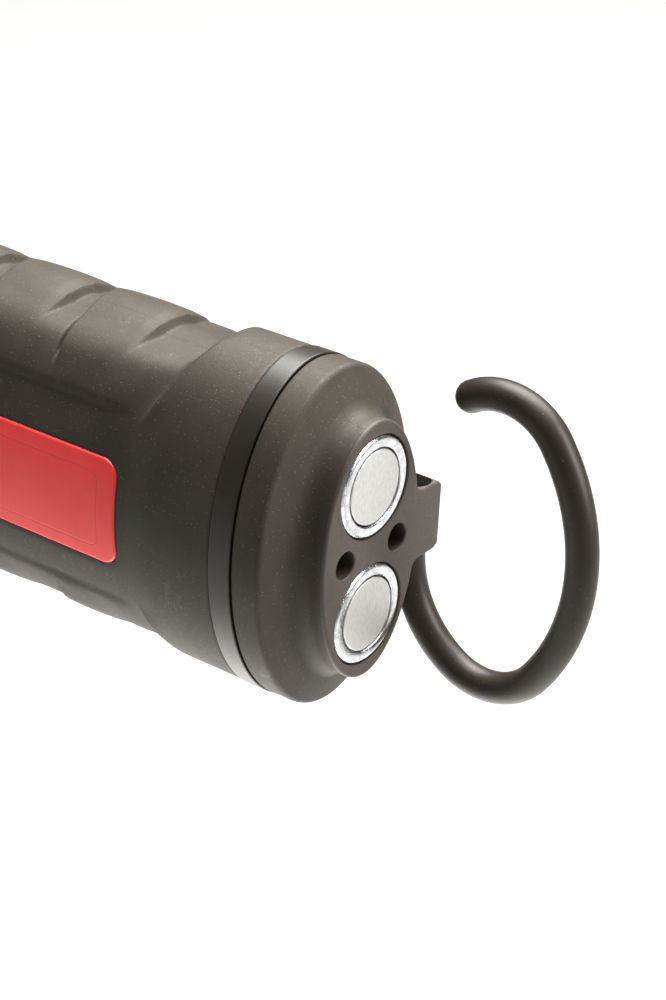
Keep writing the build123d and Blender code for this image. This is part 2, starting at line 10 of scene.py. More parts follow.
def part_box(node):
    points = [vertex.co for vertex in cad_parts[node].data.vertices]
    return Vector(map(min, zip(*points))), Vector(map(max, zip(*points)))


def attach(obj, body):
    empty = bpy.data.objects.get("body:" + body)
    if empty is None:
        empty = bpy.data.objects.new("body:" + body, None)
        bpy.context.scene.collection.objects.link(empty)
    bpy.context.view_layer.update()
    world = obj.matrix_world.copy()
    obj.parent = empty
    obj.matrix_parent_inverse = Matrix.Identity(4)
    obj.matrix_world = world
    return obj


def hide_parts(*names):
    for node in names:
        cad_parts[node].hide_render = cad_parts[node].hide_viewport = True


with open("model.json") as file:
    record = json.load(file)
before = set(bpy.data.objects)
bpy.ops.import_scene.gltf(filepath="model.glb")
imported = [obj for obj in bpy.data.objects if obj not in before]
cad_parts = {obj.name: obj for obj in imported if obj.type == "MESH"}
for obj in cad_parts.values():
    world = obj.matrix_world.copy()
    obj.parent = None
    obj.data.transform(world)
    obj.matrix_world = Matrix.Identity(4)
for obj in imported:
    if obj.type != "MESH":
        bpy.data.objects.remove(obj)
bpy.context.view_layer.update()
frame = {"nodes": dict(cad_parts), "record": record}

# Meshes are drawn in millimetres and stored in metres. The light lies along X with its magnet
# face at X = 0, so a "station" s is a point at X = -s. The oval section has its half depth
# along Y and its half height along Z, and the angle round it is 0 on the label side (-Y) and
# 90 degrees on the upper narrow edge.
MM = 0.001

# ---- Camera and light
CAMERA_PLACE = (0.18079, -0.25775, 0.16152)
CAMERA_TARGET = (-0.01463, 0.00975, 0.0)
CAMERA_ROLL = 3.03
CAMERA_LENS = 87.15
CAMERA_SENSOR = 36.0
FLOOR_DROP = 0.30
WARM = (1.0, 0.965, 0.92)
PALE = (1.0, 0.99, 0.975)
FLOOR_HALF = 9000.0
# Painted pool of light: the floor emits a glow round this centre, which also lights the work light from
# below.
GLOW_CENTRE = (-70.0, 0.0)
GLOW_REACH = 320.0
GLOW_CORE = 60.0
GLOW_STRENGTH = 3.4

# ---- Rubber grip
RUBBER = 2.3
AROUND = 256
COLLAR_END = 26.9
FLARE_END = 34.5
ZONE_EDGE = 53.0
ZONE_RISE = 0.75
SCOOP_DEPTH = 1.75
PAD_START = 38.8
PAD_PITCH = 18.5
PAD_COUNT = 5
PAD_LENGTH = 13.5
PAD_FALL = (9, 34)
PAD_SIDE = (47, 56)
PAD_CLIMB = 0.9
HEAD_LIFT = 1.3
SIDE_LIFT = 0.42
PAD_CROWN = 0.22
PAD_ROLL = 0.3
BACK_SLANT = 3.2
CREASE_DEPTH = 0.85
CREASE_WIDTH = 0.36
CREASE_SIDE = (36, 46)
COLLAR_WALL = 27.5
COLLAR_SWELL = 0.8
LIP_WIDTH = 0.8
LIP_DROP = 0.22
SEAT_GAP = 0.12
BUTTON_HOLE = 6.3
COVER_GAP = 0.3

# ---- Label panel
PANEL_CORNER = 3.0
PANEL_EDGE = 0.35
PANEL_DEPTH = 1.1
BORDER_SIDE = 2.5
BORDER_END = 3.5

# ---- Tail
BOSS = (11.6, 20.8)
BOSS_FRONT_ROUND = 0.45
PLATE = 0.6
BOOT_SKIN = 0.75
CORE_SKIN = 0.8
BOOT_EDGE = 1.0
BOOT_LEAN = math.radians(68.8)
BOOT_TURN = 6.765
BOOT_FOOT = 6.65
BOOT_COVE = 3.0
BOOT_WALL = 1.3
LUG_REACH = 17.8
LUG_CORNER = 2.2
LUG_FILLET = 1.6
LUG_SIDE_ROUND = 1.0
LUG_HALF_HEIGHT = 5.8
SHANK_FRONT = 3.07
SHANK_SIDE = 14.25
SHANK_BORE = 2.6
WIRE_BORE = 1.65
WEB = (0.8, 2.2)
WELL_SIDE = 6.3
WELL_RADIUS = 2.2
WELL_DEPTH = 7.8
SHOULDER = 6.2
DISC_START = 7.6
RING_ROUND = 0.22
RING_SINK = 0.3
RING_THICK = 1.6

# ---- Magnets
CUP_RADIUS = 8.0
CUP_WALL = 1.9
CUP_DEPTH = 4.5
CUP_FLOOR = 2.9
CUP_RIM = 0.75
CUP_INNER_RIM = 0.25
DISC_GAP = 0.3
DISC_SINK = 0.02
DISC_ROUND = 0.2

# ---- Screws, LEDs and button
SCREW_HEAD = 2.0
HEAD_ROUND = 0.25
SOCKET_RADIUS = 0.95
SOCKET_DEPTH = 0.9
TAIL_SCREW = {"head_height": 1.8, "shank_radius": 1.25, "shank_length": 24.0}
NOSE_HEAD_HEIGHT = 1.2
NOSE_SHANK_RADIUS = 1.1
LED_SIZE = 3.5
LED_COLUMNS = 10
LED_ROWS = 3
BUTTON_FLANGE = 1.0
BUTTON_ROUND = 0.8

# ---- Cooling ribs
RIB_COUNT = 15
RIB_SPAN = 112.0
RIB_ANGLES = (134, 226)
RIB_STEPS = 44
RIB_RISE = (0.1, 0.55)


def smooth(value, start, end):
    """Smooth step from 0 at start to 1 at end."""
    t = np.clip((value - start) / (end - start), 0, 1)
    return t * t * (3 - 2 * t)


def box_mm(node):
    """Lowest and highest corner of a CAD node, in millimetres."""
    low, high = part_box(node)
    return np.array(low) / MM, np.array(high) / MM


def half_sizes(node):
    """Half depth and half height of an oval node."""
    high = box_mm(node)[1]
    return high[1], high[2]


def stations(node):
    """Where a node starts and ends along the light."""
    low, high = box_mm(node)
    return -high[0], -low[0]


# ---- Mesh tools


def make_object(name, points, faces, closed=True):
    """Mesh object from points in millimetres, with its faces turned outwards."""
    mesh = bpy.data.meshes.new(name)
    mesh.from_pydata((np.asarray(points, float) * MM).tolist(), [], faces)
    shell = bmesh.new()
    shell.from_mesh(mesh)
    bmesh.ops.remove_doubles(shell, verts=shell.verts, dist=1e-7)
    if closed:
        bmesh.ops.recalc_face_normals(shell, faces=shell.faces)
    shell.to_mesh(mesh)
    shell.free()
    piece = bpy.data.objects.new(name, mesh)
    bpy.context.scene.collection.objects.link(piece)
    return piece


def ring_faces(ring_count, around, closed_along):
    """Quads between neighbouring rings, and from the last ring back to the first if asked."""
    faces = []
    last = ring_count if closed_along else ring_count - 1
    for ring in range(last):
        after = (ring + 1) % ring_count
        for step in range(around):
            side = (step + 1) % around
            faces.append((ring * around + step, ring * around + side,
                          after * around + side, after * around + step))
    return faces


def ring_skin(name, rings, closed_along=False):
    """Skin over a list of rings; open ends get a flat cap."""
    rings = np.asarray(rings, float)
    count, around = rings.shape[:2]
    faces = ring_faces(count, around, closed_along)
    if not closed_along:
        faces.append(tuple(range(around)))
        faces.append(tuple((count - 1) * around + step for step in range(around)))
    return make_object(name, rings.reshape(-1, 3), faces)


def oval_ring(station, half_depth, half_height, around=AROUND):
    """Points round an oval at one station."""
    angle = np.arange(around) * 2 * math.pi / around
    return np.stack([np.full(around, -station), -half_depth * np.cos(angle), half_height * np.sin(angle)], 1)


def oval_solid(name, profile, around=AROUND):
    """Closed oval body from (station, half depth, half height) rows."""
    return ring_skin(name, [oval_ring(*row, around) for row in profile])


def turned(name, profile, axis, centre, around=64, closed_along=False):
    """Body turned from (place along the axis, radius) rows about an X, Y or Z axis."""
    angle = np.arange(around) * 2 * math.pi / around
    rings = []
    for place, radius in profile:
        ring = np.zeros((around, 3))
        ring[:, axis] = place
        ring[:, (axis + 1) % 3] = radius * np.cos(angle)
        ring[:, (axis + 2) % 3] = radius * np.sin(angle)
        rings.append(ring + np.array(centre))
    return ring_skin(name, rings, closed_along)


def applied(piece):
    """Turns a piece's modifiers into plain mesh."""
    graph = bpy.context.evaluated_depsgraph_get()
    mesh = bpy.data.meshes.new_from_object(piece.evaluated_get(graph))
    piece.modifiers.clear()
    old = piece.data
    piece.data = mesh
    bpy.data.meshes.remove(old)
    return piece


def combine(piece, tools, operation):
    """Cuts tools from a piece, or joins them to it, and removes them."""
    for tool in tools:
        step = piece.modifiers.new("step", "BOOLEAN")
        step.operation = operation
        step.object = tool
        step.solver = "MANIFOLD"
    applied(piece)
    for tool in tools:
        bpy.data.objects.remove(tool)
    return piece


def shaded(piece, sharp_angle=35):
    """Smooth shading that keeps hard corners, weighted so that flat faces stay flat."""
    mesh = piece.data
    mesh.polygons.foreach_set("use_smooth", [True] * len(mesh.polygons))
    mesh.set_sharp_from_angle(angle=math.radians(sharp_angle))
    weigh = piece.modifiers.new("weigh", "WEIGHTED_NORMAL")
    weigh.keep_sharp = True
    return applied(piece)


def finish(piece, body, slot, material, *nodes):
    """Gives a piece its material and body and hides the CAD nodes that it stands for; slot is not used."""
    piece.data.materials.clear()
    piece.data.materials.append(material)
    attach(piece, body)
    if nodes:
        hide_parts(*nodes)
    return piece


# ---- Shader tools


def add(tree, kind, **settings):
    """New shader node; settings are its properties."""
    node = tree.nodes.new(kind)
    for key, value in settings.items():
        setattr(node, key, value)
    return node


def put(tree, node, **values):
    """Sets or links a node's inputs, named with _ for a space, or i0, i1 and so on by number."""
    for key, value in values.items():
        numbered = key[0] == "i" and key[1:].isdigit()
        socket = node.inputs[int(key[1:]) if numbered else key.replace("_", " ")]
        if isinstance(value, bpy.types.NodeSocket):
            tree.links.new(value, socket)
        else:
            socket.default_value = value
    return node


def calc(tree, operation, first, second=0.0, third=0.0):
    """Output of one Math node."""
    node = add(tree, "ShaderNodeMath", operation=operation)
    return put(tree, node, i0=first, i1=second, i2=third).outputs[0]


def ramp(tree, value, low, high):
    """Value mapped smoothly from 0 at low to 1 at high."""
    node = add(tree, "ShaderNodeMapRange", interpolation_type="SMOOTHSTEP")
    return put(tree, node, Value=value, From_Min=low, From_Max=high).outputs["Result"]


def mixed(tree, factor, first, second):
    """Colour mixed from two colours."""
    node = add(tree, "ShaderNodeMix", data_type="RGBA")
    return put(tree, node, i0=factor, i6=first, i7=second).outputs[2]


def group(name, inputs, outputs):
    """Empty shader node group with named number sockets."""
    tree = bpy.data.node_groups.new(name, "ShaderNodeTree")
    for label, value in inputs:
        socket = tree.interface.new_socket(label, in_out="INPUT", socket_type="NodeSocketFloat")
        socket.default_value = value
    for label in outputs:
        tree.interface.new_socket(label, in_out="OUTPUT", socket_type="NodeSocketFloat")
    return tree, add(tree, "NodeGroupInput"), add(tree, "NodeGroupOutput")


def place_of(tree):
    """Object coordinates in millimetres."""
    texture = add(tree, "ShaderNodeTexCoord")
    scale = add(tree, "ShaderNodeVectorMath", operation="SCALE")
    return put(tree, scale, i0=texture.outputs["Object"], Scale=1 / MM).outputs[0]


def moulded_grain():
    """Fine spark-eroded or rubber texture, with slow changes of tone."""
    tree, entry, exit_ = group("moulded_grain", [("Grain size", 0.3)], ["Height", "Tone"])
    place = place_of(tree)
    pitch = calc(tree, "DIVIDE", 1.0, entry.outputs["Grain size"])
    fine = put(tree, add(tree, "ShaderNodeTexNoise"), Vector=place, Scale=pitch, Detail=3.0, Roughness=0.6)
    pits = put(tree, add(tree, "ShaderNodeTexVoronoi"), Vector=place, Scale=pitch)
    height = calc(tree, "MULTIPLY_ADD", pits.outputs["Distance"], 0.5, fine.outputs[0])
    slow = put(tree, add(tree, "ShaderNodeTexNoise"), Vector=place, Scale=0.09, Detail=4.0, Roughness=0.55)
    put(tree, exit_, Height=height, Tone=slow.outputs[0])
    return tree


def specks_and_glints():
    """Sparse specks of dust and wear, and painted glints of the moulded grain where a material colours them
    bright.
    """
    tree, entry, exit_ = group("specks_and_glints", [("Spacing", 1.0), ("Size", 0.1), ("Amount", 0.4)], ["Mask"])
    place = place_of(tree)
    pitch = calc(tree, "DIVIDE", 1.0, entry.outputs["Spacing"])
    cells = put(tree, add(tree, "ShaderNodeTexVoronoi"), Vector=place, Scale=pitch)
    chance = add(tree, "ShaderNodeSeparateColor")
    put(tree, chance, Color=cells.outputs["Color"])
    kept = calc(tree, "LESS_THAN", chance.outputs[0], entry.outputs["Amount"])
    radius = calc(tree, "MULTIPLY", entry.outputs["Size"], chance.outputs[1])
    inside = calc(tree, "LESS_THAN", cells.outputs["Distance"], radius)
    put(tree, exit_, Mask=calc(tree, "MULTIPLY", kept, inside))
    return tree


def light_scuffs():
    """Broken rubbed patches, for gloss and colour wear."""
    tree, entry, exit_ = group("light_scuffs", [("Patch size", 8.0), ("Amount", 0.4)], ["Mask"])
    place = place_of(tree)
    wide = calc(tree, "DIVIDE", 1.0, entry.outputs["Patch size"])
    patch = put(tree, add(tree, "ShaderNodeTexNoise"), Vector=place, Scale=wide, Detail=2.0)
    narrow = calc(tree, "MULTIPLY", wide, 9.0)
    fine = put(tree, add(tree, "ShaderNodeTexNoise"), Vector=place, Scale=narrow, Detail=5.0)
    both = calc(tree, "MULTIPLY_ADD", fine.outputs[0], 0.5, calc(tree, "MULTIPLY", patch.outputs[0], 0.6))
    start = calc(tree, "SUBTRACT", 0.72, calc(tree, "MULTIPLY", entry.outputs["Amount"], 0.3))
    put(tree, exit_, Mask=ramp(tree, both, start, calc(tree, "ADD", start, 0.14)))
    return tree


def drawn_streaks():
    """Fine lines left by drawing, brushing or turning, stretched by three scales."""
    tree, entry, exit_ = group(
        "drawn_streaks", [("Along X", 1.0), ("Along Y", 1.0), ("Along Z", 1.0)], ["Height", "Tone"],
    )
    place = place_of(tree)
    scales = add(tree, "ShaderNodeCombineXYZ")
    put(tree, scales, X=entry.outputs[0], Y=entry.outputs[1], Z=entry.outputs[2])
    stretch = add(tree, "ShaderNodeVectorMath", operation="MULTIPLY")
    put(tree, stretch, i0=place, i1=scales.outputs[0])
    drawn = stretch.outputs[0]
    lines = put(tree, add(tree, "ShaderNodeTexNoise"), Vector=drawn, Scale=1.0, Detail=4.0, Roughness=0.7)
    tone = put(tree, add(tree, "ShaderNodeTexNoise"), Vector=drawn, Scale=0.35, Detail=2.0)
    put(tree, exit_, Height=lines.outputs[0], Tone=tone.outputs[0])
    return tree


GRAIN = moulded_grain()
SPECKS_AND_GLINTS = specks_and_glints()
SCUFFS = light_scuffs()
STREAKS = drawn_streaks()


def effect(tree, group_tree, **values):
    """A shared effect placed in a material with its own values."""
    return put(tree, add(tree, "ShaderNodeGroup", node_tree=group_tree), **values)


def start_material(name, roughness, metallic=0.0, **sockets):
    """New material and its Principled shader."""
    material = bpy.data.materials.new(name)
    material.use_nodes = True
    tree = material.node_tree
    shader = tree.nodes["Principled BSDF"]
    put(tree, shader, Roughness=roughness, Metallic=metallic, **sockets)
    return material, tree, shader


def bump(tree, shader, height, distance, strength=1.0):
    """Bump in millimetres feeding the shader's normal."""
    node = add(tree, "ShaderNodeBump")
    put(tree, node, Height=height, Distance=distance * MM, Strength=strength)
    tree.links.new(node.outputs["Normal"], shader.inputs["Normal"])
    return node


def tone_colour(tree, tone, dark, light):
    """Colour that wanders between two tones."""
    return mixed(tree, ramp(tree, tone, 0.3, 0.7), (*dark, 1), (*light, 1))


def moulded_material(name, dark, light, roughness, grain, depth, speckle=0.3, gloss_change=0.1):
    """Moulded rubber or plastic: fine grain, slow tone, rubbed patches and pale specks that are dust and
    painted glints.
    """
    material, tree, shader = start_material(name, roughness, Specular_IOR_Level=0.35)
    texture = effect(tree, GRAIN, Grain_size=grain)
    rubbed = effect(tree, SCUFFS, Patch_size=9.0, Amount=0.35)
    specks = effect(tree, SPECKS_AND_GLINTS, Spacing=0.36, Size=0.26, Amount=speckle)
    colour = tone_colour(tree, texture.outputs["Tone"], dark, light)
    pale = tuple(min(1.0, 1.5 * part) for part in light)
    colour = mixed(tree, calc(tree, "MULTIPLY", rubbed.outputs[0], 0.25), colour, (*pale, 1))
    # Painted highlight: on dark rubber and plastic these pale specks stand for glints off the grain as well
    # as for dust.
    colour = mixed(tree, calc(tree, "MULTIPLY", specks.outputs[0], 0.3), colour, (0.3, 0.28, 0.25, 1))
    gloss = calc(tree, "MULTIPLY_ADD", rubbed.outputs[0], -gloss_change, roughness)
    put(tree, shader, Base_Color=colour, Roughness=gloss)
    bump(tree, shader, texture.outputs["Height"], depth)
    return material


def parting_line(tree, height, side):
    """Adds a mould parting line along the upper and lower narrow edges to a bump height."""
    parts = add(tree, "ShaderNodeSeparateXYZ")
    put(tree, parts, Vector=place_of(tree))
    away = calc(tree, "ABSOLUTE", calc(tree, "SUBTRACT", parts.outputs[1], side))
    line = calc(tree, "SUBTRACT", 1.0, ramp(tree, away, 0.03, 0.14))
    high = ramp(tree, calc(tree, "ABSOLUTE", parts.outputs[2]), 19.0, 20.0)
    return calc(tree, "MULTIPLY_ADD", calc(tree, "MULTIPLY", line, high), 1.2, height)


def grip_rubber():
    """Textured black rubber with the mould's parting line."""
    # The pale specks here are dust and painted glints of the rubber's grain.
    material = moulded_material(
        "soft_black_rubber", (0.029, 0.0235, 0.017), (0.040, 0.0325, 0.024), 0.6, 0.22, 0.02, speckle=0.5,
    )
    tree = material.node_tree
    relief = next(node for node in tree.nodes if node.type == "BUMP")
    height = relief.inputs["Height"].links[0].from_socket
    put(tree, relief, Height=parting_line(tree, height, -2.45))
    return material


def red_panel():
    """Glossy red label with a thin engraved border inside its edge, darkened with painted shade."""
    material, tree, shader = start_material("red_label", 0.34, Specular_IOR_Level=0.5)
    (start, end), (low, high) = stations("label_panel"), box_mm("label_panel")
    parts = add(tree, "ShaderNodeSeparateXYZ")
    put(tree, parts, Vector=place_of(tree))
    length = (end - start) / 2 - BORDER_END
    height = high[2] - BORDER_SIDE
    round_ = PANEL_CORNER * 0.6
    across = calc(tree, "ABSOLUTE", calc(tree, "ADD", parts.outputs[0], (start + end) / 2))
    up = calc(tree, "ABSOLUTE", parts.outputs[2])
    past_end = calc(tree, "MAXIMUM", calc(tree, "SUBTRACT", across, length - round_), 0.0)
    past_side = calc(tree, "MAXIMUM", calc(tree, "SUBTRACT", up, height - round_), 0.0)
    reach = calc(tree, "SQRT", calc(tree, "ADD", calc(tree, "MULTIPLY", past_end, past_end),
                                    calc(tree, "MULTIPLY", past_side, past_side)))
    off_line = calc(tree, "ABSOLUTE", calc(tree, "SUBTRACT", reach, round_))
    line = calc(tree, "SUBTRACT", 1.0, ramp(tree, off_line, 0.05, 0.16))
    texture = effect(tree, GRAIN, Grain_size=1.6)
    rubbed = effect(tree, SCUFFS, Patch_size=14.0, Amount=0.3)
    specks = effect(tree, SPECKS_AND_GLINTS, Spacing=2.2, Size=0.08, Amount=0.3)
    colour = tone_colour(tree, texture.outputs["Tone"], (0.90, 0.044, 0.042), (0.98, 0.056, 0.053))
    # Painted shade: the border groove's colour is darkened towards deep red for the shade inside it, as well
    # as bumped below.
    colour = mixed(tree, calc(tree, "MULTIPLY", line, 0.25), colour, (0.36, 0.010, 0.012, 1))
    colour = mixed(tree, calc(tree, "MULTIPLY", specks.outputs[0], 0.5), colour, (0.9, 0.6, 0.6, 1))
    put(tree, shader, Base_Color=colour, Roughness=calc(tree, "MULTIPLY_ADD", rubbed.outputs[0], 0.1, 0.33))
    height = calc(tree, "MULTIPLY_ADD", line, -3.0, texture.outputs["Height"])
    bump(tree, shader, height, 0.006)
    return material


def plated_steel(name, dark, light, roughness, streak, depth=0.004):
    """Plated or drawn steel with fine lines, dull patches and specks of wear."""
    material, tree, shader = start_material(name, roughness, metallic=1.0)
    lines = effect(tree, STREAKS, Along_X=streak[0], Along_Y=streak[1], Along_Z=streak[2])
    rubbed = effect(tree, SCUFFS, Patch_size=3.0, Amount=0.45)
    specks = effect(tree, SPECKS_AND_GLINTS, Spacing=0.45, Size=0.22, Amount=0.35)
    colour = tone_colour(tree, lines.outputs["Tone"], dark, light)
    worn = tuple(0.45 * part for part in dark)
    colour = mixed(tree, calc(tree, "MULTIPLY", specks.outputs[0], 0.5), colour, (*worn, 1))
    gloss = calc(tree, "MULTIPLY_ADD", rubbed.outputs[0], 0.14, roughness)
    put(tree, shader, Base_Color=colour, Roughness=gloss)
    height = calc(tree, "MULTIPLY_ADD", rubbed.outputs[0], 0.6, lines.outputs["Height"])
    bump(tree, shader, height, depth)
    return material


def smooth_material(name, dark, light, roughness, grain=0.8, depth=0.003, speckle=0.15, **sockets):
    """Smooth plastic, paint, film or resin with faint waviness, scuffs and dust."""
    material, tree, shader = start_material(name, roughness, **sockets)
    texture = effect(tree, GRAIN, Grain_size=grain)
    rubbed = effect(tree, SCUFFS, Patch_size=6.0, Amount=0.35)
    specks = effect(tree, SPECKS_AND_GLINTS, Spacing=1.8, Size=0.08, Amount=speckle)
    colour = tone_colour(tree, texture.outputs["Tone"], dark, light)
    colour = mixed(tree, calc(tree, "MULTIPLY", specks.outputs[0], 0.4), colour, (0.6, 0.58, 0.55, 1))
    gloss = calc(tree, "MULTIPLY_ADD", rubbed.outputs[0], 0.12, roughness)
    put(tree, shader, Base_Color=colour, Roughness=gloss)
    bump(tree, shader, texture.outputs["Height"], depth)
    return material


def clear_plastic():
    """Clear lens with faint flow waviness and dust."""
    material, tree, shader = start_material("clear_lens", 0.06, Transmission_Weight=1.0, IOR=1.49)
    texture = effect(tree, GRAIN, Grain_size=6.0)
    specks = effect(tree, SPECKS_AND_GLINTS, Spacing=2.4, Size=0.07, Amount=0.35)
    rubbed = effect(tree, SCUFFS, Patch_size=18.0, Amount=0.3)
    dusty = calc(tree, "MULTIPLY", specks.outputs[0], 0.4)
    colour = mixed(tree, dusty, (0.95, 0.97, 0.98, 1), (0.7, 0.7, 0.68, 1))
    put(tree, shader, Base_Color=colour, Roughness=calc(tree, "MULTIPLY_ADD", rubbed.outputs[0], 0.08, 0.05))
    bump(tree, shader, texture.outputs["Height"], 0.01)
    return material


def make_materials():
    """One material for every material slot of the record."""
    return {
        "soft_black_rubber": grip_rubber(),
        "hard_black_plastic": moulded_material(
            "hard_black_plastic", (0.050, 0.041, 0.033), (0.066, 0.055, 0.045), 0.5, 0.26, 0.012, speckle=0.25),
        "gloss_black_plastic": smooth_material(
            "gloss_black_plastic", (0.015, 0.0125, 0.010), (0.023, 0.019, 0.015), 0.36, 0.5),
        "red_label": red_panel(),
        "zinc_steel": plated_steel(
            "zinc_steel", (0.56, 0.58, 0.59), (0.84, 0.86, 0.87), 0.2, (0.8, 2.5, 2.5), 0.03),
        "nickel_magnet": plated_steel(
            "nickel_magnet", (0.62, 0.62, 0.61), (0.69, 0.69, 0.68), 0.5, (1.0, 5.0, 3.0), 0.003),
        "screw_steel": plated_steel(
            "screw_steel", (0.05, 0.05, 0.05), (0.12, 0.12, 0.12), 0.35, (4.0, 4.0, 4.0)),
        "hook_vinyl": moulded_material(
            "hook_vinyl", (0.018, 0.014, 0.0102), (0.026, 0.0205, 0.015), 0.42, 0.7, 0.006, speckle=0.1),
        "hook_steel": plated_steel(
            "hook_steel", (0.6, 0.6, 0.6), (0.8, 0.8, 0.8), 0.25, (3.0, 3.0, 0.4)),
        "clear_lens": clear_plastic(),
        "white_reflector": smooth_material(
            "white_reflector", (0.78, 0.78, 0.77), (0.88, 0.88, 0.87), 0.22),
        "led_board_white": smooth_material("led_board_white", (0.7, 0.71, 0.7), (0.8, 0.81, 0.8), 0.4),
        "led_phosphor": smooth_material(
            "led_phosphor", (0.85, 0.62, 0.12), (0.93, 0.75, 0.22), 0.3, 0.15, 0.01),
        "spreader_aluminium": plated_steel(
            "spreader_aluminium", (0.62, 0.63, 0.64), (0.78, 0.79, 0.8), 0.35, (0.15, 4.0, 6.0), 0.01),
        "board_green": smooth_material("board_green", (0.01, 0.12, 0.05), (0.02, 0.2, 0.08), 0.35),
        "cell_wrap": smooth_material("cell_wrap", (0.03, 0.12, 0.32), (0.05, 0.17, 0.42), 0.3),
        "nickel_strip": plated_steel(
            "nickel_strip", (0.55, 0.54, 0.5), (0.7, 0.68, 0.62), 0.3, (6.0, 3.0, 0.3)),
        "cradle_plastic": moulded_material(
            "cradle_plastic", (0.55, 0.55, 0.5), (0.66, 0.65, 0.6), 0.5, 0.4, 0.01, speckle=0.1),
        "lead_red": smooth_material("lead_red", (0.4, 0.012, 0.012), (0.5, 0.02, 0.02), 0.35),
        "button_rubber": moulded_material(
            "button_rubber", (0.42, 0.016, 0.026), (0.52, 0.024, 0.036), 0.5, 0.22, 0.01, speckle=0.1),
        "socket_plastic": smooth_material(
            "socket_plastic", (0.012, 0.012, 0.012), (0.022, 0.021, 0.02), 0.35),
        "socket_contact": plated_steel(
            "socket_contact", (0.65, 0.64, 0.6), (0.82, 0.8, 0.76), 0.15, (3.0, 3.0, 3.0)),
    }


# ---- Grip


def rounded_reach(across, up, half_length, half_height, corner):
    """Distance outside a rounded rectangle centred on zero; negative inside."""
    past_end = np.abs(across) - half_length + corner
    past_side = np.abs(up) - half_height + corner
    outside = np.hypot(np.maximum(past_end, 0), np.maximum(past_side, 0))
    return outside + np.minimum(np.maximum(past_end, past_side), 0) - corner


def grip_pads(station, off_edge, back, last_station):
    """Finger pads: a steep undercut on the tail side, a fine crease on the head side.

    off_edge is the angle from the nearer narrow edge and back is the part of it on the +Y side,
    where each pad starts a little nearer to the next."""
    down = off_edge - 0.2 * back
    fall = 1 - smooth(down, *PAD_FALL)
    head_lift = HEAD_LIFT * (1 - smooth(down, 8, 34)) + SIDE_LIFT * (1 - smooth(off_edge, 36, 47))
    crease_share = smooth(off_edge, 0, 5) * (1 - smooth(off_edge, *CREASE_SIDE))
    lift = np.zeros(np.broadcast(station, off_edge).shape)
    crease = np.zeros(lift.shape)
    for index in range(PAD_COUNT):
        pad_start = PAD_START + index * PAD_PITCH
        tail = pad_start + 1.5 * (off_edge / 32) ** 3
        head = pad_start + PAD_LENGTH - 0.035 * off_edge + BACK_SLANT * smooth(back, 0, 20)
        along = np.clip((station - tail) / (head - tail), 0, 1)
        top = SCOOP_DEPTH * fall * (1 - along) + head_lift * along + PAD_CROWN * 4 * along * (1 - along)
        top = top - PAD_ROLL * (1 - smooth(station, tail, tail + 2.6)) * fall
        climb = np.clip((station - tail + PAD_CLIMB) / PAD_CLIMB, 0, 1) ** 1.7
        drop = 1 - smooth(station, head - 0.1, head + 0.6)
        lift = np.maximum(lift, top * climb * drop * (1 - smooth(off_edge, *PAD_SIDE)))
        crease = crease + np.exp(-((station - head - 0.6) / CREASE_WIDTH) ** 2)
    scooped = 1 - smooth(station, last_station - 6, last_station + 4)
    return scooped * (lift - SCOOP_DEPTH * fall - CREASE_DEPTH * crease_share * crease)


def grip_relief(station, angle, start, end):
    """Height of the grip's surface above its plain oval."""
    off_edge = np.abs(np.abs((angle + 180) % 360 - 180) - 90)
    back = np.where(np.cos(np.radians(angle)) < 0, off_edge, 0)
    swell = COLLAR_SWELL * (1 + 0.5 * np.sin(np.radians(angle)) ** 2)
    zone = 1 - smooth(off_edge, 44, 57)
    wall = COLLAR_WALL + 0.0017 * off_edge ** 2
    half_wall = 1.8 - 0.024 * off_edge
    steep = 1 - smooth(station, wall - half_wall, wall + half_wall)
    gentle = 1 - smooth(station, COLLAR_END, FLARE_END)
    mirrored = start + end - station
    far = 1 - smooth(mirrored, COLLAR_END, FLARE_END)
    collar = steep * zone + gentle * (1 - zone)
    last_pad_end = PAD_START + PAD_COUNT * PAD_PITCH - 5
    pads = grip_pads(station, off_edge, back, last_pad_end) * (1 - steep) * (1 - far)
    rise = ZONE_RISE * (0.65 + 0.35 * np.sin(np.radians(angle)))
    raised = rise * (1 - smooth(off_edge, ZONE_EDGE - 2.5, ZONE_EDGE + 2.0)) * smooth(off_edge, 18, 38)
    raised = raised * smooth(station, wall + 1, wall + 7) * (1 - far)
    return np.maximum(collar, far) * swell + pads + raised


def grip_lips(station, depth, height):
    """How far the rubber dips beside the label panel and the button."""
    start, end = stations("label_panel")
    panel_high = box_mm("label_panel")[1][2]
    reach = rounded_reach(station - (start + end) / 2, height, (end - start) / 2, panel_high, PANEL_CORNER)
    dip = (depth < 0) * np.clip(1 - reach / LIP_WIDTH, 0, 1) ** 2 * (reach > -0.3)
    low, high = box_mm("power_button")
    centre = -(low[0] + high[0]) / 2
    reach = np.hypot(station - centre, height) - BUTTON_HOLE
    dip = dip + (depth < 0) * np.clip(1 - reach / (2 * LIP_WIDTH), 0, 1) ** 2 * 2
    return LIP_DROP * dip


def grip_stations(start, end):
    """Stations along the grip, closer together where a pad or a collar begins or ends."""
    places = [start, start + 0.12, start + 0.3, end - 0.3, end - 0.12, end]
    for index in range(PAD_COUNT):
        edge = PAD_START + index * PAD_PITCH
        places.extend(np.arange(edge - 1.2, edge + 2.2, 0.22))
        places.extend(np.arange(edge + 11.8, edge + 14.6, 0.14))
        places.extend(np.arange(edge + 14.8, edge + 17.4, 0.3))
    places.extend(np.arange(COLLAR_END - 0.6, FLARE_END + 1, 0.35))
    places.extend(start + end - np.arange(COLLAR_END, FLARE_END, 0.7))
    places.extend(np.arange(start + 0.8, end - 0.8, 1.6))
    chosen = []
    for place in sorted(places):
        if start <= place <= end and (not chosen or place - chosen[-1] > 0.1):
            chosen.append(float(place))
    return chosen


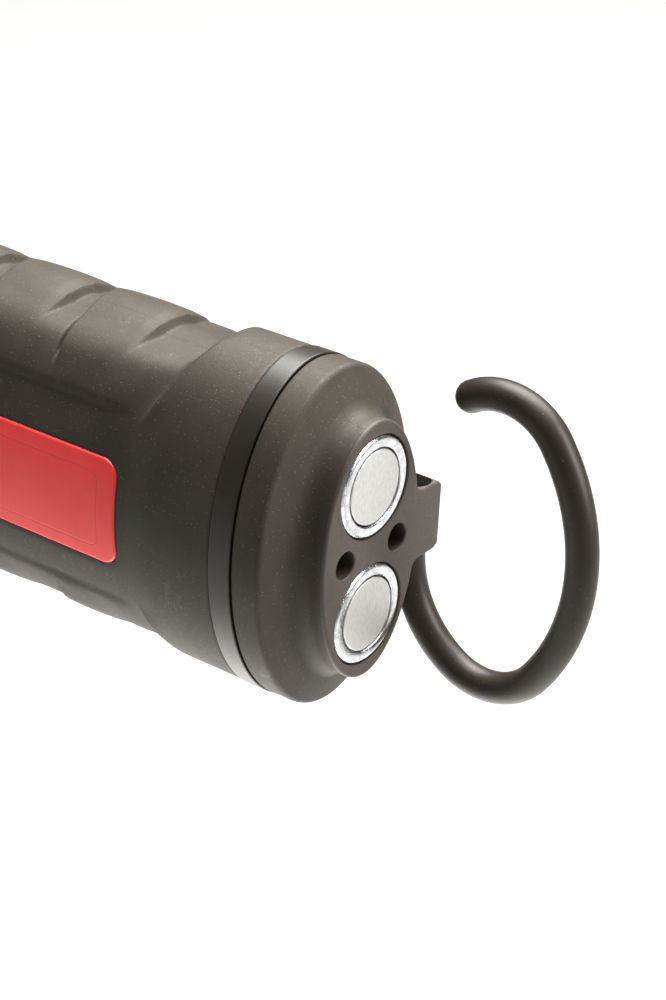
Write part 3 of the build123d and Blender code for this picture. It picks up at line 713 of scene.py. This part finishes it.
def grip_outline(half_depth, half_height):
    """Moulded outer rings of the grip, then two plain inner ones."""
    start, end = stations("grip_sleeve")
    rings = []
    angle = np.arange(AROUND) * 360 / AROUND
    turn = np.radians(angle)
    slope = np.stack([np.zeros(AROUND), -np.cos(turn) / half_depth, np.sin(turn) / half_height], 1)
    slope /= np.linalg.norm(slope, axis=1)[:, None]
    for station in grip_stations(start, end):
        ring = oval_ring(station, half_depth, half_height)
        edge = min(station - start, end - station)
        rounded = 0.3 * (1 - smooth(edge, -0.1, 0.32))
        lips = grip_lips(station, ring[:, 1], ring[:, 2])
        height = grip_relief(station, angle, start, end) - lips - rounded
        rings.append(ring + slope * height[:, None])
    for station in (end, start):
        rings.append(oval_ring(station, half_depth - RUBBER, half_height - RUBBER))
    return rings


def panel_prism(grow):
    """Cutting bar through the label panel's seat."""
    start, end = stations("label_panel")
    high = box_mm("label_panel")[1][2]
    half_length, half_height = (end - start) / 2 + grow, high + grow
    corner = PANEL_CORNER + grow
    outline = []
    for quarter_turn, (side, up) in enumerate(((1, 1), (-1, 1), (-1, -1), (1, -1))):
        for step in range(9):
            angle = math.radians(90 * quarter_turn + step * 90 / 8)
            outline.append((side * (half_length - corner) + corner * math.cos(angle),
                            up * (half_height - corner) + corner * math.sin(angle)))
    middle = -(start + end) / 2
    rings = [[(middle + across, depth, up) for across, up in outline] for depth in (-30.0, -11.0)]
    return ring_skin("panel_seat_cutter", rings)


def box_solid(name, low, high):
    """Plain cutting box."""
    rings = [[(x, low[1], low[2]), (x, high[1], low[2]), (x, high[1], high[2]), (x, low[1], high[2])]
             for x in (low[0], high[0])]
    return ring_skin(name, rings)


def build_grip(materials):
    """Rubber grip with its pads, and the openings for the panel, the button and the charge cover."""
    shell_half = half_sizes("back_handle_shell")
    rings = grip_outline(shell_half[0] + RUBBER, shell_half[1] + RUBBER)
    grip = ring_skin("rubber_grip", rings, closed_along=True)
    low, high = box_mm("power_button")
    centre = (low + high) / 2
    hole_rows = [(-30, BUTTON_HOLE), (-10, BUTTON_HOLE)]
    button_hole = turned("button_cutter", hole_rows, 1, (centre[0], 0, 0))
    low, high = box_mm("charge_cover")
    cover_top = np.array([high[0] + COVER_GAP, 30.0, high[2] + COVER_GAP])
    cover_hole = box_solid("cover_cutter", low - COVER_GAP, cover_top)
    combine(grip, [panel_prism(SEAT_GAP), button_hole, cover_hole], "DIFFERENCE")
    shaded(grip, 50)
    finish(grip, "light", "soft_black_rubber", materials["soft_black_rubber"], "grip_sleeve")


def build_label_panel(materials):
    """Thin red panel that follows the oval, with softly rounded edges."""
    start, end = stations("label_panel")
    low, high = box_mm("label_panel")
    shell_half = half_sizes("back_handle_shell")
    half_depth = -low[1]
    half_height = half_depth - shell_half[0] + shell_half[1]
    half_length, panel_half = (end - start) / 2, high[2]
    near_end = half_length - PANEL_CORNER * (1 - np.cos(np.linspace(0, math.pi / 2, 22)))
    soft_end = half_length - PANEL_EDGE * (1 - np.cos(np.linspace(0, math.pi / 2, 8)))
    middle = np.linspace(0, half_length - PANEL_CORNER, 36)
    across = np.unique(np.round(np.concatenate([middle, near_end, soft_end]), 3))
    across = np.concatenate([-across[:0:-1], across])
    share = np.concatenate([np.linspace(-1, -0.9, 10), np.linspace(-0.87, 0.87, 30), np.linspace(0.9, 1, 10)])
    rings = []
    for place in across:
        past = max(abs(place) - half_length + PANEL_CORNER, 0)
        reach = panel_half - PANEL_CORNER + math.sqrt(max(PANEL_CORNER ** 2 - past ** 2, 0))
        up = share * reach
        inside = np.clip(-rounded_reach(place, up, half_length, panel_half, PANEL_CORNER), 0, PANEL_EDGE)
        drop = PANEL_EDGE - np.sqrt(PANEL_EDGE ** 2 - (PANEL_EDGE - inside) ** 2)
        depth = half_depth * np.sqrt(1 - (up / half_height) ** 2)
        station = (start + end) / 2 + place
        front = np.stack([np.full(len(up), -station), -depth + drop, up], 1)
        back = front[::-1].copy()
        back[:, 1] = (-depth + PANEL_DEPTH)[::-1]
        rings.append(np.concatenate([front, back]))
    panel = ring_skin("red_label_panel", rings)
    shaded(panel, 60)
    finish(panel, "light", "red_label", materials["red_label"], "label_panel")


# ---- Tail


def boot_profile(cap_end, front):
    """Outline of the boot as (station, inset from the collar's oval), outside then inside."""
    rows = [(cap_end, 0.22), (cap_end - 0.07, 0.07), (cap_end - 0.22, 0.0)]
    turn = BOOT_TURN + BOOT_EDGE * math.tan(BOOT_LEAN / 2)
    rows += [(place, 0.0) for place in np.linspace(cap_end - 1.2, turn + 0.2, 4)]
    for step in range(10):
        angle = step * BOOT_LEAN / 9
        rows.append((turn - BOOT_EDGE * math.sin(angle), BOOT_EDGE * (1 - math.cos(angle))))
    rise = math.pi / 2 - BOOT_LEAN
    meet = rows[-1][0] - math.tan(rise) * (BOOT_FOOT - rows[-1][1])
    reach = BOOT_COVE * math.tan(BOOT_LEAN / 2)
    begin = (meet + reach * math.sin(rise), BOOT_FOOT - reach * math.cos(rise))
    rows.append(((rows[-1][0] + begin[0]) / 2, (rows[-1][1] + begin[1]) / 2))
    centre = (meet - reach, BOOT_FOOT - BOOT_COVE)
    for step in range(12):
        angle = rise + step * BOOT_LEAN / 11
        rows.append((centre[0] + BOOT_COVE * math.cos(angle), centre[1] + BOOT_COVE * math.sin(angle)))
    rows += [(1.4, BOOT_FOOT), (front + 0.16, BOOT_FOOT)]
    rows += [(front + 0.05, BOOT_FOOT + 0.05), (front + 0.02, BOOT_FOOT + 0.16)]
    inner = BOOT_FOOT + BOOT_SKIN - 0.05
    back = SHOULDER + 1.2
    rows += [(front + 0.02, inner), (back, inner), (back, BOOT_WALL), (cap_end, BOOT_WALL)]
    return rows


def lug_outline(inset):
    """Outline (Y, Z) of the boss face with its hook lug, taken in by an inset."""
    boss_depth, boss_height = BOSS
    join = LUG_HALF_HEIGHT + LUG_FILLET
    turn = math.asin(join / boss_height)
    side = boss_depth * math.cos(turn)
    points = []
    for angle in np.linspace(math.pi - turn, turn - math.pi, 150):
        points.append((-boss_depth * math.cos(angle), boss_height * math.sin(angle)))

    def arc(centre, radius, first, last, steps=8):
        for step in range(1, steps + 1):
            angle = math.radians(first + (last - first) * step / steps)
            points.append((centre[0] + radius * math.cos(angle), centre[1] + radius * math.sin(angle)))

    corner = LUG_REACH - LUG_CORNER
    flat = LUG_HALF_HEIGHT - LUG_CORNER
    arc((side + LUG_FILLET, -join), LUG_FILLET, 180, 90)
    arc((corner, -flat), LUG_CORNER, -90, 0)
    arc((corner, flat), LUG_CORNER, 0, 90)
    arc((side + LUG_FILLET, join), LUG_FILLET, 270, 180)
    outline = np.array(points[:-1])
    along = np.roll(outline, -1, 0) - np.roll(outline, 1, 0)
    along /= np.linalg.norm(along, axis=1)[:, None]
    outward = np.stack([along[:, 1], -along[:, 0]], 1)
    centre = outline.mean(0)
    if ((outline - centre) * outward).sum() < 0:
        outward = -outward
    return outline - outward * inset


def lug_side_cutter(front):
    """Cutter that rounds the lug's free side in plan, at its front or its back edge."""
    face, outward = (0.0, 1) if front else (-SHOULDER, -1)
    outline = []
    for step in range(13):
        angle = step * math.pi / 24
        outline.append((face - outward * LUG_SIDE_ROUND * (1 - math.sin(angle)),
                        LUG_REACH - LUG_SIDE_ROUND * (1 - math.cos(angle))))
    outline = outline[::-1] + [
        (face - outward * LUG_SIDE_ROUND, LUG_REACH + 1), (face + outward, LUG_REACH + 1),
        (face + outward, LUG_REACH - LUG_SIDE_ROUND),
    ]
    rings = [[(x, y, z) for x, y in outline] for z in (-LUG_HALF_HEIGHT - 1, LUG_HALF_HEIGHT + 1)]
    return ring_skin("lug_side_cutter", rings)


def flared(depth, radius, flare, steps=5):
    """Turned cutter profile for a blind hole from X = 0, with a rounded mouth."""
    rows = [(1.0, radius + flare)]
    for step in range(steps + 1):
        angle = step * math.pi / 2 / steps
        rows.append((-flare * (1 - math.cos(angle)), radius + flare * (1 - math.sin(angle))))
    rows.append((-depth, radius))
    return rows


def shank_cutter(x, y):
    """Stepped cutter for the hook's upright bore, flared at both ends of the lug."""
    flare = 0.25
    rows = [(-8.0, SHANK_BORE + flare), (-LUG_HALF_HEIGHT, SHANK_BORE + flare),
            (-LUG_HALF_HEIGHT + 0.07, SHANK_BORE + 0.1), (-LUG_HALF_HEIGHT + flare, SHANK_BORE),
            (WEB[0], SHANK_BORE), (WEB[0], WIRE_BORE), (WEB[1], WIRE_BORE), (WEB[1], SHANK_BORE),
            (LUG_HALF_HEIGHT - flare, SHANK_BORE), (LUG_HALF_HEIGHT - 0.07, SHANK_BORE + 0.1),
            (LUG_HALF_HEIGHT, SHANK_BORE + flare), (8.0, SHANK_BORE + flare)]
    return turned("shank_cutter", rows, 2, (x, y, 0), 48)


def skin_cutter():
    """C-shaped cutter that makes room for the boot's rubber round the boss, open at the lug."""
    boss_depth, boss_height = BOSS
    limit = math.pi - math.asin((LUG_HALF_HEIGHT + 0.6) / boss_height)
    rings = []
    back, outside = SHOULDER + 0.6, 4.0
    corners = ((PLATE, -CORE_SKIN), (PLATE, outside), (back, outside), (back, -CORE_SKIN))
    for angle in np.linspace(-limit, limit, 180):
        section = []
        for station, grow in corners:
            depth, height = boss_depth + grow, boss_height + grow
            section.append((-station, -depth * math.cos(angle), height * math.sin(angle)))
        rings.append(section)
    return ring_skin("skin_cutter", rings)


def build_carrier(materials):
    """Boss face, hook lug and the hidden disc and spigot behind them."""
    rings = []
    depths = [(BOSS_FRONT_ROUND * (1 - math.cos(step * math.pi / 12)),
               BOSS_FRONT_ROUND * (1 - math.sin(step * math.pi / 12))) for step in range(7)]
    depths += [(SHOULDER - 0.4, 0.0), (SHOULDER - 0.12, 0.12), (SHOULDER, 0.4)]
    for station, inset in depths:
        outline = lug_outline(inset)
        rings.append([(-station, y, z) for y, z in outline])
    carrier = ring_skin("tail_face", rings)
    combine(carrier, [skin_cutter()], "DIFFERENCE")
    ring_back = stations("tail_trim_ring")[1]
    disc_half = np.array(half_sizes("tail_boot")) - 1.4
    spigot_half = np.array(half_sizes("back_handle_shell")) - 2.1
    hollow_half = spigot_half - 2
    core = np.array(BOSS) - CORE_SKIN
    end = stations("magnet_carrier")[1]
    body = [
        oval_solid("core", [(1.0, *core), (DISC_START + 0.2, *core)]),
        oval_solid("disc", [(DISC_START, *disc_half), (ring_back, *disc_half)]),
        oval_solid("spigot", [(ring_back - 0.2, *spigot_half), (end, *spigot_half)]),
    ]
    combine(carrier, body, "UNION")
    tools = [oval_solid("hollow", [(DISC_START + 3, *hollow_half), (end + 1, *hollow_half)])]
    for z in magnet_heights():
        pocket = flared(CUP_DEPTH + 0.1, CUP_RADIUS + SEAT_GAP, 0.2)
        tools.append(turned("pocket", pocket, 0, (0, 0, z), 96))
    for y in (-WELL_SIDE, WELL_SIDE):
        tools.append(turned("well", flared(WELL_DEPTH, WELL_RADIUS, 0.3), 0, (0, y, 0), 48))
    tools += [shank_cutter(-SHANK_FRONT, SHANK_SIDE), lug_side_cutter(True), lug_side_cutter(False)]
    combine(carrier, tools, "DIFFERENCE")
    shaded(carrier, 40)
    finish(carrier, "light", "hard_black_plastic", materials["hard_black_plastic"], "magnet_carrier")


def build_boot(materials):
    """Rubber boot that slopes from the collar down to the boss, notched for the hook lug."""
    boss = np.array(BOSS)
    collar = np.array(half_sizes("tail_boot"))
    cap_end = stations("tail_boot")[1]
    rings = []
    for station, inset in boot_profile(cap_end, PLATE):
        half = collar + (boss - collar) * inset / BOOT_FOOT
        rings.append(oval_ring(station, *half))
    boot = ring_skin("rubber_boot", rings, closed_along=True)
    outline = lug_outline(-0.08)
    inside, half_notch = BOSS[0] * 0.5, LUG_HALF_HEIGHT + 0.4
    notch_points = [point for point in outline if point[0] > inside and abs(point[1]) < half_notch]
    inner = [(inside, notch_points[-1][1]), (inside, notch_points[0][1])]
    rings = [[(-station, y, z) for y, z in notch_points + inner] for station in (-1.0, SHOULDER + 0.08)]
    notch = ring_skin("lug_notch_cutter", rings)
    relief_rows = [(-30.0, SHANK_BORE + 0.3), (-LUG_HALF_HEIGHT + 0.2, SHANK_BORE + 0.3)]
    relief = turned("relief", relief_rows, 2, (-SHANK_FRONT, SHANK_SIDE, 0), 48)
    combine(boot, [notch, relief], "DIFFERENCE")
    shaded(boot, 50)
    finish(boot, "light", "soft_black_rubber", materials["soft_black_rubber"], "tail_boot")


def build_trim_ring(name, node, materials):
    """Semi-gloss ring with rounded edges, standing a little proud."""
    start, end = stations(node)
    half = np.array(half_sizes(node)) - RING_SINK
    rows = []
    for step in range(7):
        angle = step * math.pi / 12
        rows.append((start + RING_ROUND * (1 - math.sin(angle)), RING_ROUND * (1 - math.cos(angle))))
    near = [(station, *(half - inset)) for station, inset in rows[::-1]]
    far = [(start + end - station, *(half - inset)) for station, inset in rows]
    inside = [(end, *(half - RING_THICK)), (start, *(half - RING_THICK))]
    rings = [oval_ring(*row) for row in sorted(near + far, key=lambda row: row[0]) + inside]
    ring = ring_skin(name, rings, closed_along=True)
    shaded(ring, 50)
    finish(ring, "light", "gloss_black_plastic", materials["gloss_black_plastic"], node)


def magnet_heights():
    """Heights of the upper and the lower magnet."""
    low, high = box_mm("upper_magnet_cup")
    height = (low[2] + high[2]) / 2
    return height, -height


def cup_profile():
    """Turned profile of a pot magnet's cup, with its wide outer and narrow inner rim."""
    inside = CUP_RADIUS - CUP_WALL
    rows = [(-CUP_DEPTH, 0.01), (-CUP_DEPTH, CUP_RADIUS - 0.3), (-CUP_DEPTH + 0.3, CUP_RADIUS)]
    for step in range(8):
        angle = step * math.pi / 2 / 7
        rows.append((-CUP_RIM * (1 - math.sin(angle)), CUP_RADIUS - CUP_RIM * (1 - math.cos(angle))))
    for step in range(5):
        angle = step * math.pi / 2 / 4
        along, out = 1 - math.cos(angle), 1 - math.sin(angle)
        rows.append((-CUP_INNER_RIM * along, inside + CUP_INNER_RIM * out))
    return rows + [(-CUP_FLOOR, inside), (-CUP_FLOOR, 0.01)]


def disc_profile():
    """Turned profile of the magnet's disc, a little below the cup's rim."""
    radius = CUP_RADIUS - CUP_WALL - DISC_GAP
    base = -CUP_FLOOR + 0.1
    rows = [(base, 0.01), (base, radius)]
    for step in range(5):
        angle = step * math.pi / 8
        along, out = 1 - math.sin(angle), 1 - math.cos(angle)
        rows.append((-DISC_SINK - DISC_ROUND * along, radius - DISC_ROUND * out))
    return rows + [(-DISC_SINK, 0.01)]


def build_magnets(materials):
    """Pot magnets: a plated cup with a rounded rim, a dark gap and a flat disc."""
    for side, z in zip(("upper", "lower"), magnet_heights()):
        cup = turned(f"{side}_cup", cup_profile(), 0, (0, 0, z), 128)
        shaded(cup, 40)
        finish(cup, "light", "zinc_steel", materials["zinc_steel"], f"{side}_magnet_cup")
        disc = turned(f"{side}_disc", disc_profile(), 0, (0, 0, z), 128)
        shaded(disc, 40)
        finish(disc, "light", "nickel_magnet", materials["nickel_magnet"], f"{side}_magnet")


# ---- Controls and repeats


def repeat_tree():
    """Geometry nodes: copies the modifier's own mesh over a grid in the X-Z plane."""
    tree = bpy.data.node_groups.new("repeat_on_grid", "GeometryNodeTree")
    face = tree.interface
    face.new_socket("Geometry", in_out="INPUT", socket_type="NodeSocketGeometry")
    for label, kind in (("Columns", "Int"), ("Rows", "Int"), ("Length", "Float"), ("Height", "Float"),
                        ("Centre", "Vector"), ("Material", "Material")):
        face.new_socket(label, in_out="INPUT", socket_type=f"NodeSocket{kind}")
    face.new_socket("Geometry", in_out="OUTPUT", socket_type="NodeSocketGeometry")
    entry, exit_ = add(tree, "NodeGroupInput"), add(tree, "NodeGroupOutput")
    grid = add(tree, "GeometryNodeMeshGrid")
    put(tree, grid, Size_X=entry.outputs["Length"], Size_Y=entry.outputs["Height"],
        Vertices_X=entry.outputs["Columns"], Vertices_Y=entry.outputs["Rows"])
    stand = add(tree, "GeometryNodeTransform")
    put(tree, stand, Geometry=grid.outputs["Mesh"], Translation=entry.outputs["Centre"],
        Rotation=(math.pi / 2, 0.0, 0.0))
    copies = add(tree, "GeometryNodeInstanceOnPoints")
    put(tree, copies, Points=stand.outputs[0], Instance=entry.outputs["Geometry"])
    real = add(tree, "GeometryNodeRealizeInstances")
    put(tree, real, Geometry=copies.outputs[0])
    paint = add(tree, "GeometryNodeSetMaterial")
    put(tree, paint, Geometry=real.outputs[0], Material=entry.outputs["Material"])
    tree.links.new(paint.outputs[0], exit_.inputs[0])
    return tree


REPEAT = repeat_tree()


def repeated(unit, columns, rows, length, height, centre, material):
    """Copies a unit mesh over a grid with the geometry nodes above."""
    modifier = unit.modifiers.new("repeat", "NODES")
    modifier.node_group = REPEAT
    values = {"Columns": columns, "Rows": rows, "Length": length * MM, "Height": height * MM,
              "Centre": tuple(part * MM for part in centre), "Material": material}
    for item in REPEAT.interface.items_tree:
        if item.in_out == "INPUT" and item.name in values:
            modifier[item.identifier] = values[item.name]
    return applied(unit)


def rounded_block(name, low, high, edge):
    """Box with rounded edges."""
    block = box_solid(name, np.array(low, float), np.array(high, float))
    soften = block.modifiers.new("soften", "BEVEL")
    soften.width = edge * MM
    soften.segments = 3
    return applied(block)


def build_leds(materials):
    """LED packages: a white body with a yellow dome, over the grid of cups."""
    low, high = box_mm("leds")
    length, height = high[0] - low[0] - LED_SIZE, high[2] - low[2] - LED_SIZE
    centre = ((low[0] + high[0]) / 2, high[1], 0)
    thick = high[1] - low[1]
    half = LED_SIZE / 2
    body = rounded_block("led_bodies", (-half, -thick * 0.7, -half), (half, 0, half), 0.12)
    repeated(body, LED_COLUMNS, LED_ROWS, length, height, centre, materials["led_board_white"])
    shaded(body)
    finish(body, "light", "led_phosphor", materials["led_board_white"], "leds")
    dome_rows = [(-thick * 0.6, 1.45), (-thick * 0.75, 1.4), (-thick * 0.93, 1.0), (-thick, 0.02)]
    dome = turned("led_domes", dome_rows, 1, (0, 0, 0), 20)
    repeated(dome, LED_COLUMNS, LED_ROWS, length, height, centre, materials["led_phosphor"])
    shaded(dome, 60)
    finish(dome, "light", "led_phosphor", materials["led_phosphor"])


def screw_unit(name, head_height, shank_radius, shank_length, facing):
    """Hex-socket screw with its head's top at zero, facing +X (1) or -X (-1)."""
    tip = head_height + shank_length
    rows = [(-facing * tip, 0.01), (-facing * tip, shank_radius * 0.7)]
    rows += [(-facing * (tip - 0.5), shank_radius), (-facing * head_height, shank_radius)]
    rows.append((-facing * head_height, SCREW_HEAD))
    for step in range(5):
        angle = step * math.pi / 8
        along, out = 1 - math.sin(angle), 1 - math.cos(angle)
        rows.append((-facing * HEAD_ROUND * along, SCREW_HEAD - HEAD_ROUND * out))
    rows.append((0.0, 0.01))
    screw = turned(name, rows, 0, (0, 0, 0), 40)
    socket_rows = [(-facing * SOCKET_DEPTH, SOCKET_RADIUS), (facing * 1.0, SOCKET_RADIUS)]
    return combine(screw, [turned("socket", socket_rows, 0, (0, 0, 0), 6)], "DIFFERENCE")


def build_screws(materials):
    """Tail screws side by side and nose screws one above the other."""
    steel = materials["screw_steel"]
    face = box_mm("tail_screws")[1][0]
    for name, side in (("tail_screw_front", -WELL_SIDE), ("tail_screw_back", WELL_SIDE)):
        screw = screw_unit(name, **TAIL_SCREW, facing=1)
        repeated(screw, 1, 1, 0, 0, (face, side, 0), steel)
        shaded(screw, 30)
        finish(screw, "light", "screw_steel", steel, "tail_screws")
    low, high = box_mm("nose_screws")
    shank_length = high[0] - low[0] - NOSE_HEAD_HEIGHT
    pair = screw_unit("nose_screw_pair", NOSE_HEAD_HEIGHT, NOSE_SHANK_RADIUS, shank_length, -1)
    repeated(pair, 1, 2, 0, high[2] - low[2] - 2 * SCREW_HEAD, (low[0], 0, 0), steel)
    shaded(pair, 30)
    finish(pair, "light", "screw_steel", steel, "nose_screws")


def build_button(materials):
    """Round rubber button with a shallow dish and a raised rim."""
    low, high = box_mm("power_button")
    face, back = low[1], high[1]
    flange = (high[2] - low[2]) / 2
    radius = flange - BUTTON_FLANGE
    ledge = back - BUTTON_ROUND
    rows = [(back, 0.01), (back, flange), (ledge, flange), (ledge, radius), (face + BUTTON_ROUND, radius)]
    for step in range(1, 7):
        angle = step * math.pi / 12
        along, out = 1 - math.sin(angle), 1 - math.cos(angle)
        rows.append((face + BUTTON_ROUND * along, radius - BUTTON_ROUND * out))
    dish = ((0.03, 1.3), (0.28, 2.0), (0.45, 3.2))
    rows += [(face + depth, radius - inset) for depth, inset in dish]
    rows.append((face + 0.5, 0.01))
    button = turned("push_button", rows, 1, ((low[0] + high[0]) / 2, 0, 0), 72)
    shaded(button, 50)
    finish(button, "button", "button_rubber", materials["button_rubber"], "power_button")


def build_head(materials):
    """Fine ribs across the back of the head, moulded on to its housing."""
    start, end = stations("head_housing")
    half = np.array(half_sizes("head_housing"))
    head_start = stations("lens")[0] - 8
    rib_rings = []
    for angle in np.radians(np.linspace(*RIB_ANGLES, RIB_STEPS)):
        taper = smooth(abs(math.degrees(angle) - 180), 46, 38)
        rise = RIB_RISE[0] + RIB_RISE[1] * float(taper)
        shoulder = 0.55 * rise
        profile = ((-1.0, -0.4), (-0.75, shoulder), (-0.3, rise), (0.3, rise), (0.75, shoulder), (1.0, -0.4))
        rib_rings.append([(across, -(half[0] + lift) * math.cos(angle), (half[1] + lift) * math.sin(angle))
                          for across, lift in profile])
    rib = ring_skin("cooling_ribs", rib_rings)
    middle = -(head_start + end) / 2
    repeated(rib, RIB_COUNT, 1, RIB_SPAN, 0, (middle, 0, 0), materials["hard_black_plastic"])
    shaded(rib, 60)
    finish(rib, "light", "hard_black_plastic", materials["hard_black_plastic"])


def paint_cad_nodes(materials):
    """Gives every CAD node that still shows its slot's material."""
    slots = {part["node"]: part["material_slot"] for part in frame["record"]["subparts"]}
    for name, node in frame["nodes"].items():
        node.data.materials.clear()
        node.data.materials.append(materials[slots[name]])


# ---- Studio


def place_camera():
    """Camera that looks down on the tail from the label side."""
    data = bpy.data.cameras.new("camera")
    data.lens = CAMERA_LENS
    data.sensor_width = CAMERA_SENSOR
    data.clip_end = 20.0
    camera = bpy.data.objects.new("camera", data)
    bpy.context.scene.collection.objects.link(camera)
    look = Vector(CAMERA_TARGET) - Vector(CAMERA_PLACE)
    roll = Matrix.Rotation(math.radians(CAMERA_ROLL), 4, "Z")
    turn = look.to_track_quat("-Z", "Y").to_matrix().to_4x4() @ roll
    camera.matrix_world = Matrix.Translation(CAMERA_PLACE) @ turn
    bpy.context.scene.camera = camera


def soft_light(name, place, target, size, power, colour):
    """Rectangular light that faces its target."""
    data = bpy.data.lights.new(name, "AREA")
    data.shape = "RECTANGLE"
    data.size, data.size_y = size
    data.energy = power
    data.color = colour
    light = bpy.data.objects.new(name, data)
    bpy.context.scene.collection.objects.link(light)
    look = Vector(target) - Vector(place)
    light.matrix_world = Matrix.Translation(place) @ look.to_track_quat("-Z", "Y").to_matrix().to_4x4()


def build_studio():
    """Pale floor with a painted glow of light under the work light, dim surroundings and three soft lights.
    """
    turns = ((-1, -1), (1, -1), (1, 1), (-1, 1))
    points = [(x * FLOOR_HALF, y * FLOOR_HALF, -FLOOR_DROP / MM) for x, y in turns]
    floor = make_object("studio_floor", points, [(0, 1, 2, 3)], closed=False)
    material, tree, shader = start_material("studio_floor", 0.9)
    parts = add(tree, "ShaderNodeSeparateXYZ")
    put(tree, parts, Vector=place_of(tree))
    across = calc(tree, "SUBTRACT", parts.outputs[0], GLOW_CENTRE[0])
    deep = calc(tree, "SUBTRACT", parts.outputs[1], GLOW_CENTRE[1])
    reach = calc(tree, "SQRT", calc(tree, "MULTIPLY_ADD", across, across, calc(tree, "MULTIPLY", deep, deep)))
    # Painted light: the floor glows brightest under the work light and lights it from below, on top of an
    # even faint glow.
    glow = calc(tree, "MULTIPLY_ADD", ramp(tree, reach, GLOW_REACH, GLOW_CORE), GLOW_STRENGTH, 0.1)
    put(tree, shader, Base_Color=(0.36, 0.359, 0.356, 1), Emission_Color=(1, 0.97, 0.93, 1))
    put(tree, shader, Emission_Strength=glow)
    floor.data.materials.append(material)
    world = bpy.data.worlds.new("studio")
    bpy.context.scene.world = world
    world.use_nodes = True
    background = world.node_tree.nodes["Background"]
    background.inputs["Color"].default_value = (1, 0.995, 0.985, 1)
    background.inputs["Strength"].default_value = 0.12
    soft_light("top_light", (-0.12, 0.12, 0.85), (-0.05, 0.02, 0), (0.6, 0.8), 10.5, WARM)
    soft_light("wide_light", (-0.2, 0.85, 1.5), (-0.3, 0.8, -0.3), (1.6, 2.0), 118, PALE)
    soft_light("side_light", (0.65, 0.25, 0.35), (0.01, 0.01, 0), (0.3, 0.5), 6.5, WARM)
    bpy.context.scene.view_settings.view_transform = "Standard"


place_camera()
build_studio()
MATERIALS = make_materials()
paint_cad_nodes(MATERIALS)
build_grip(MATERIALS)
build_label_panel(MATERIALS)
build_carrier(MATERIALS)
build_boot(MATERIALS)
build_trim_ring("tail_ring", "tail_trim_ring", MATERIALS)
build_trim_ring("neck_ring", "neck_trim_ring", MATERIALS)
build_magnets(MATERIALS)
build_leds(MATERIALS)
build_screws(MATERIALS)
build_button(MATERIALS)
build_head(MATERIALS)
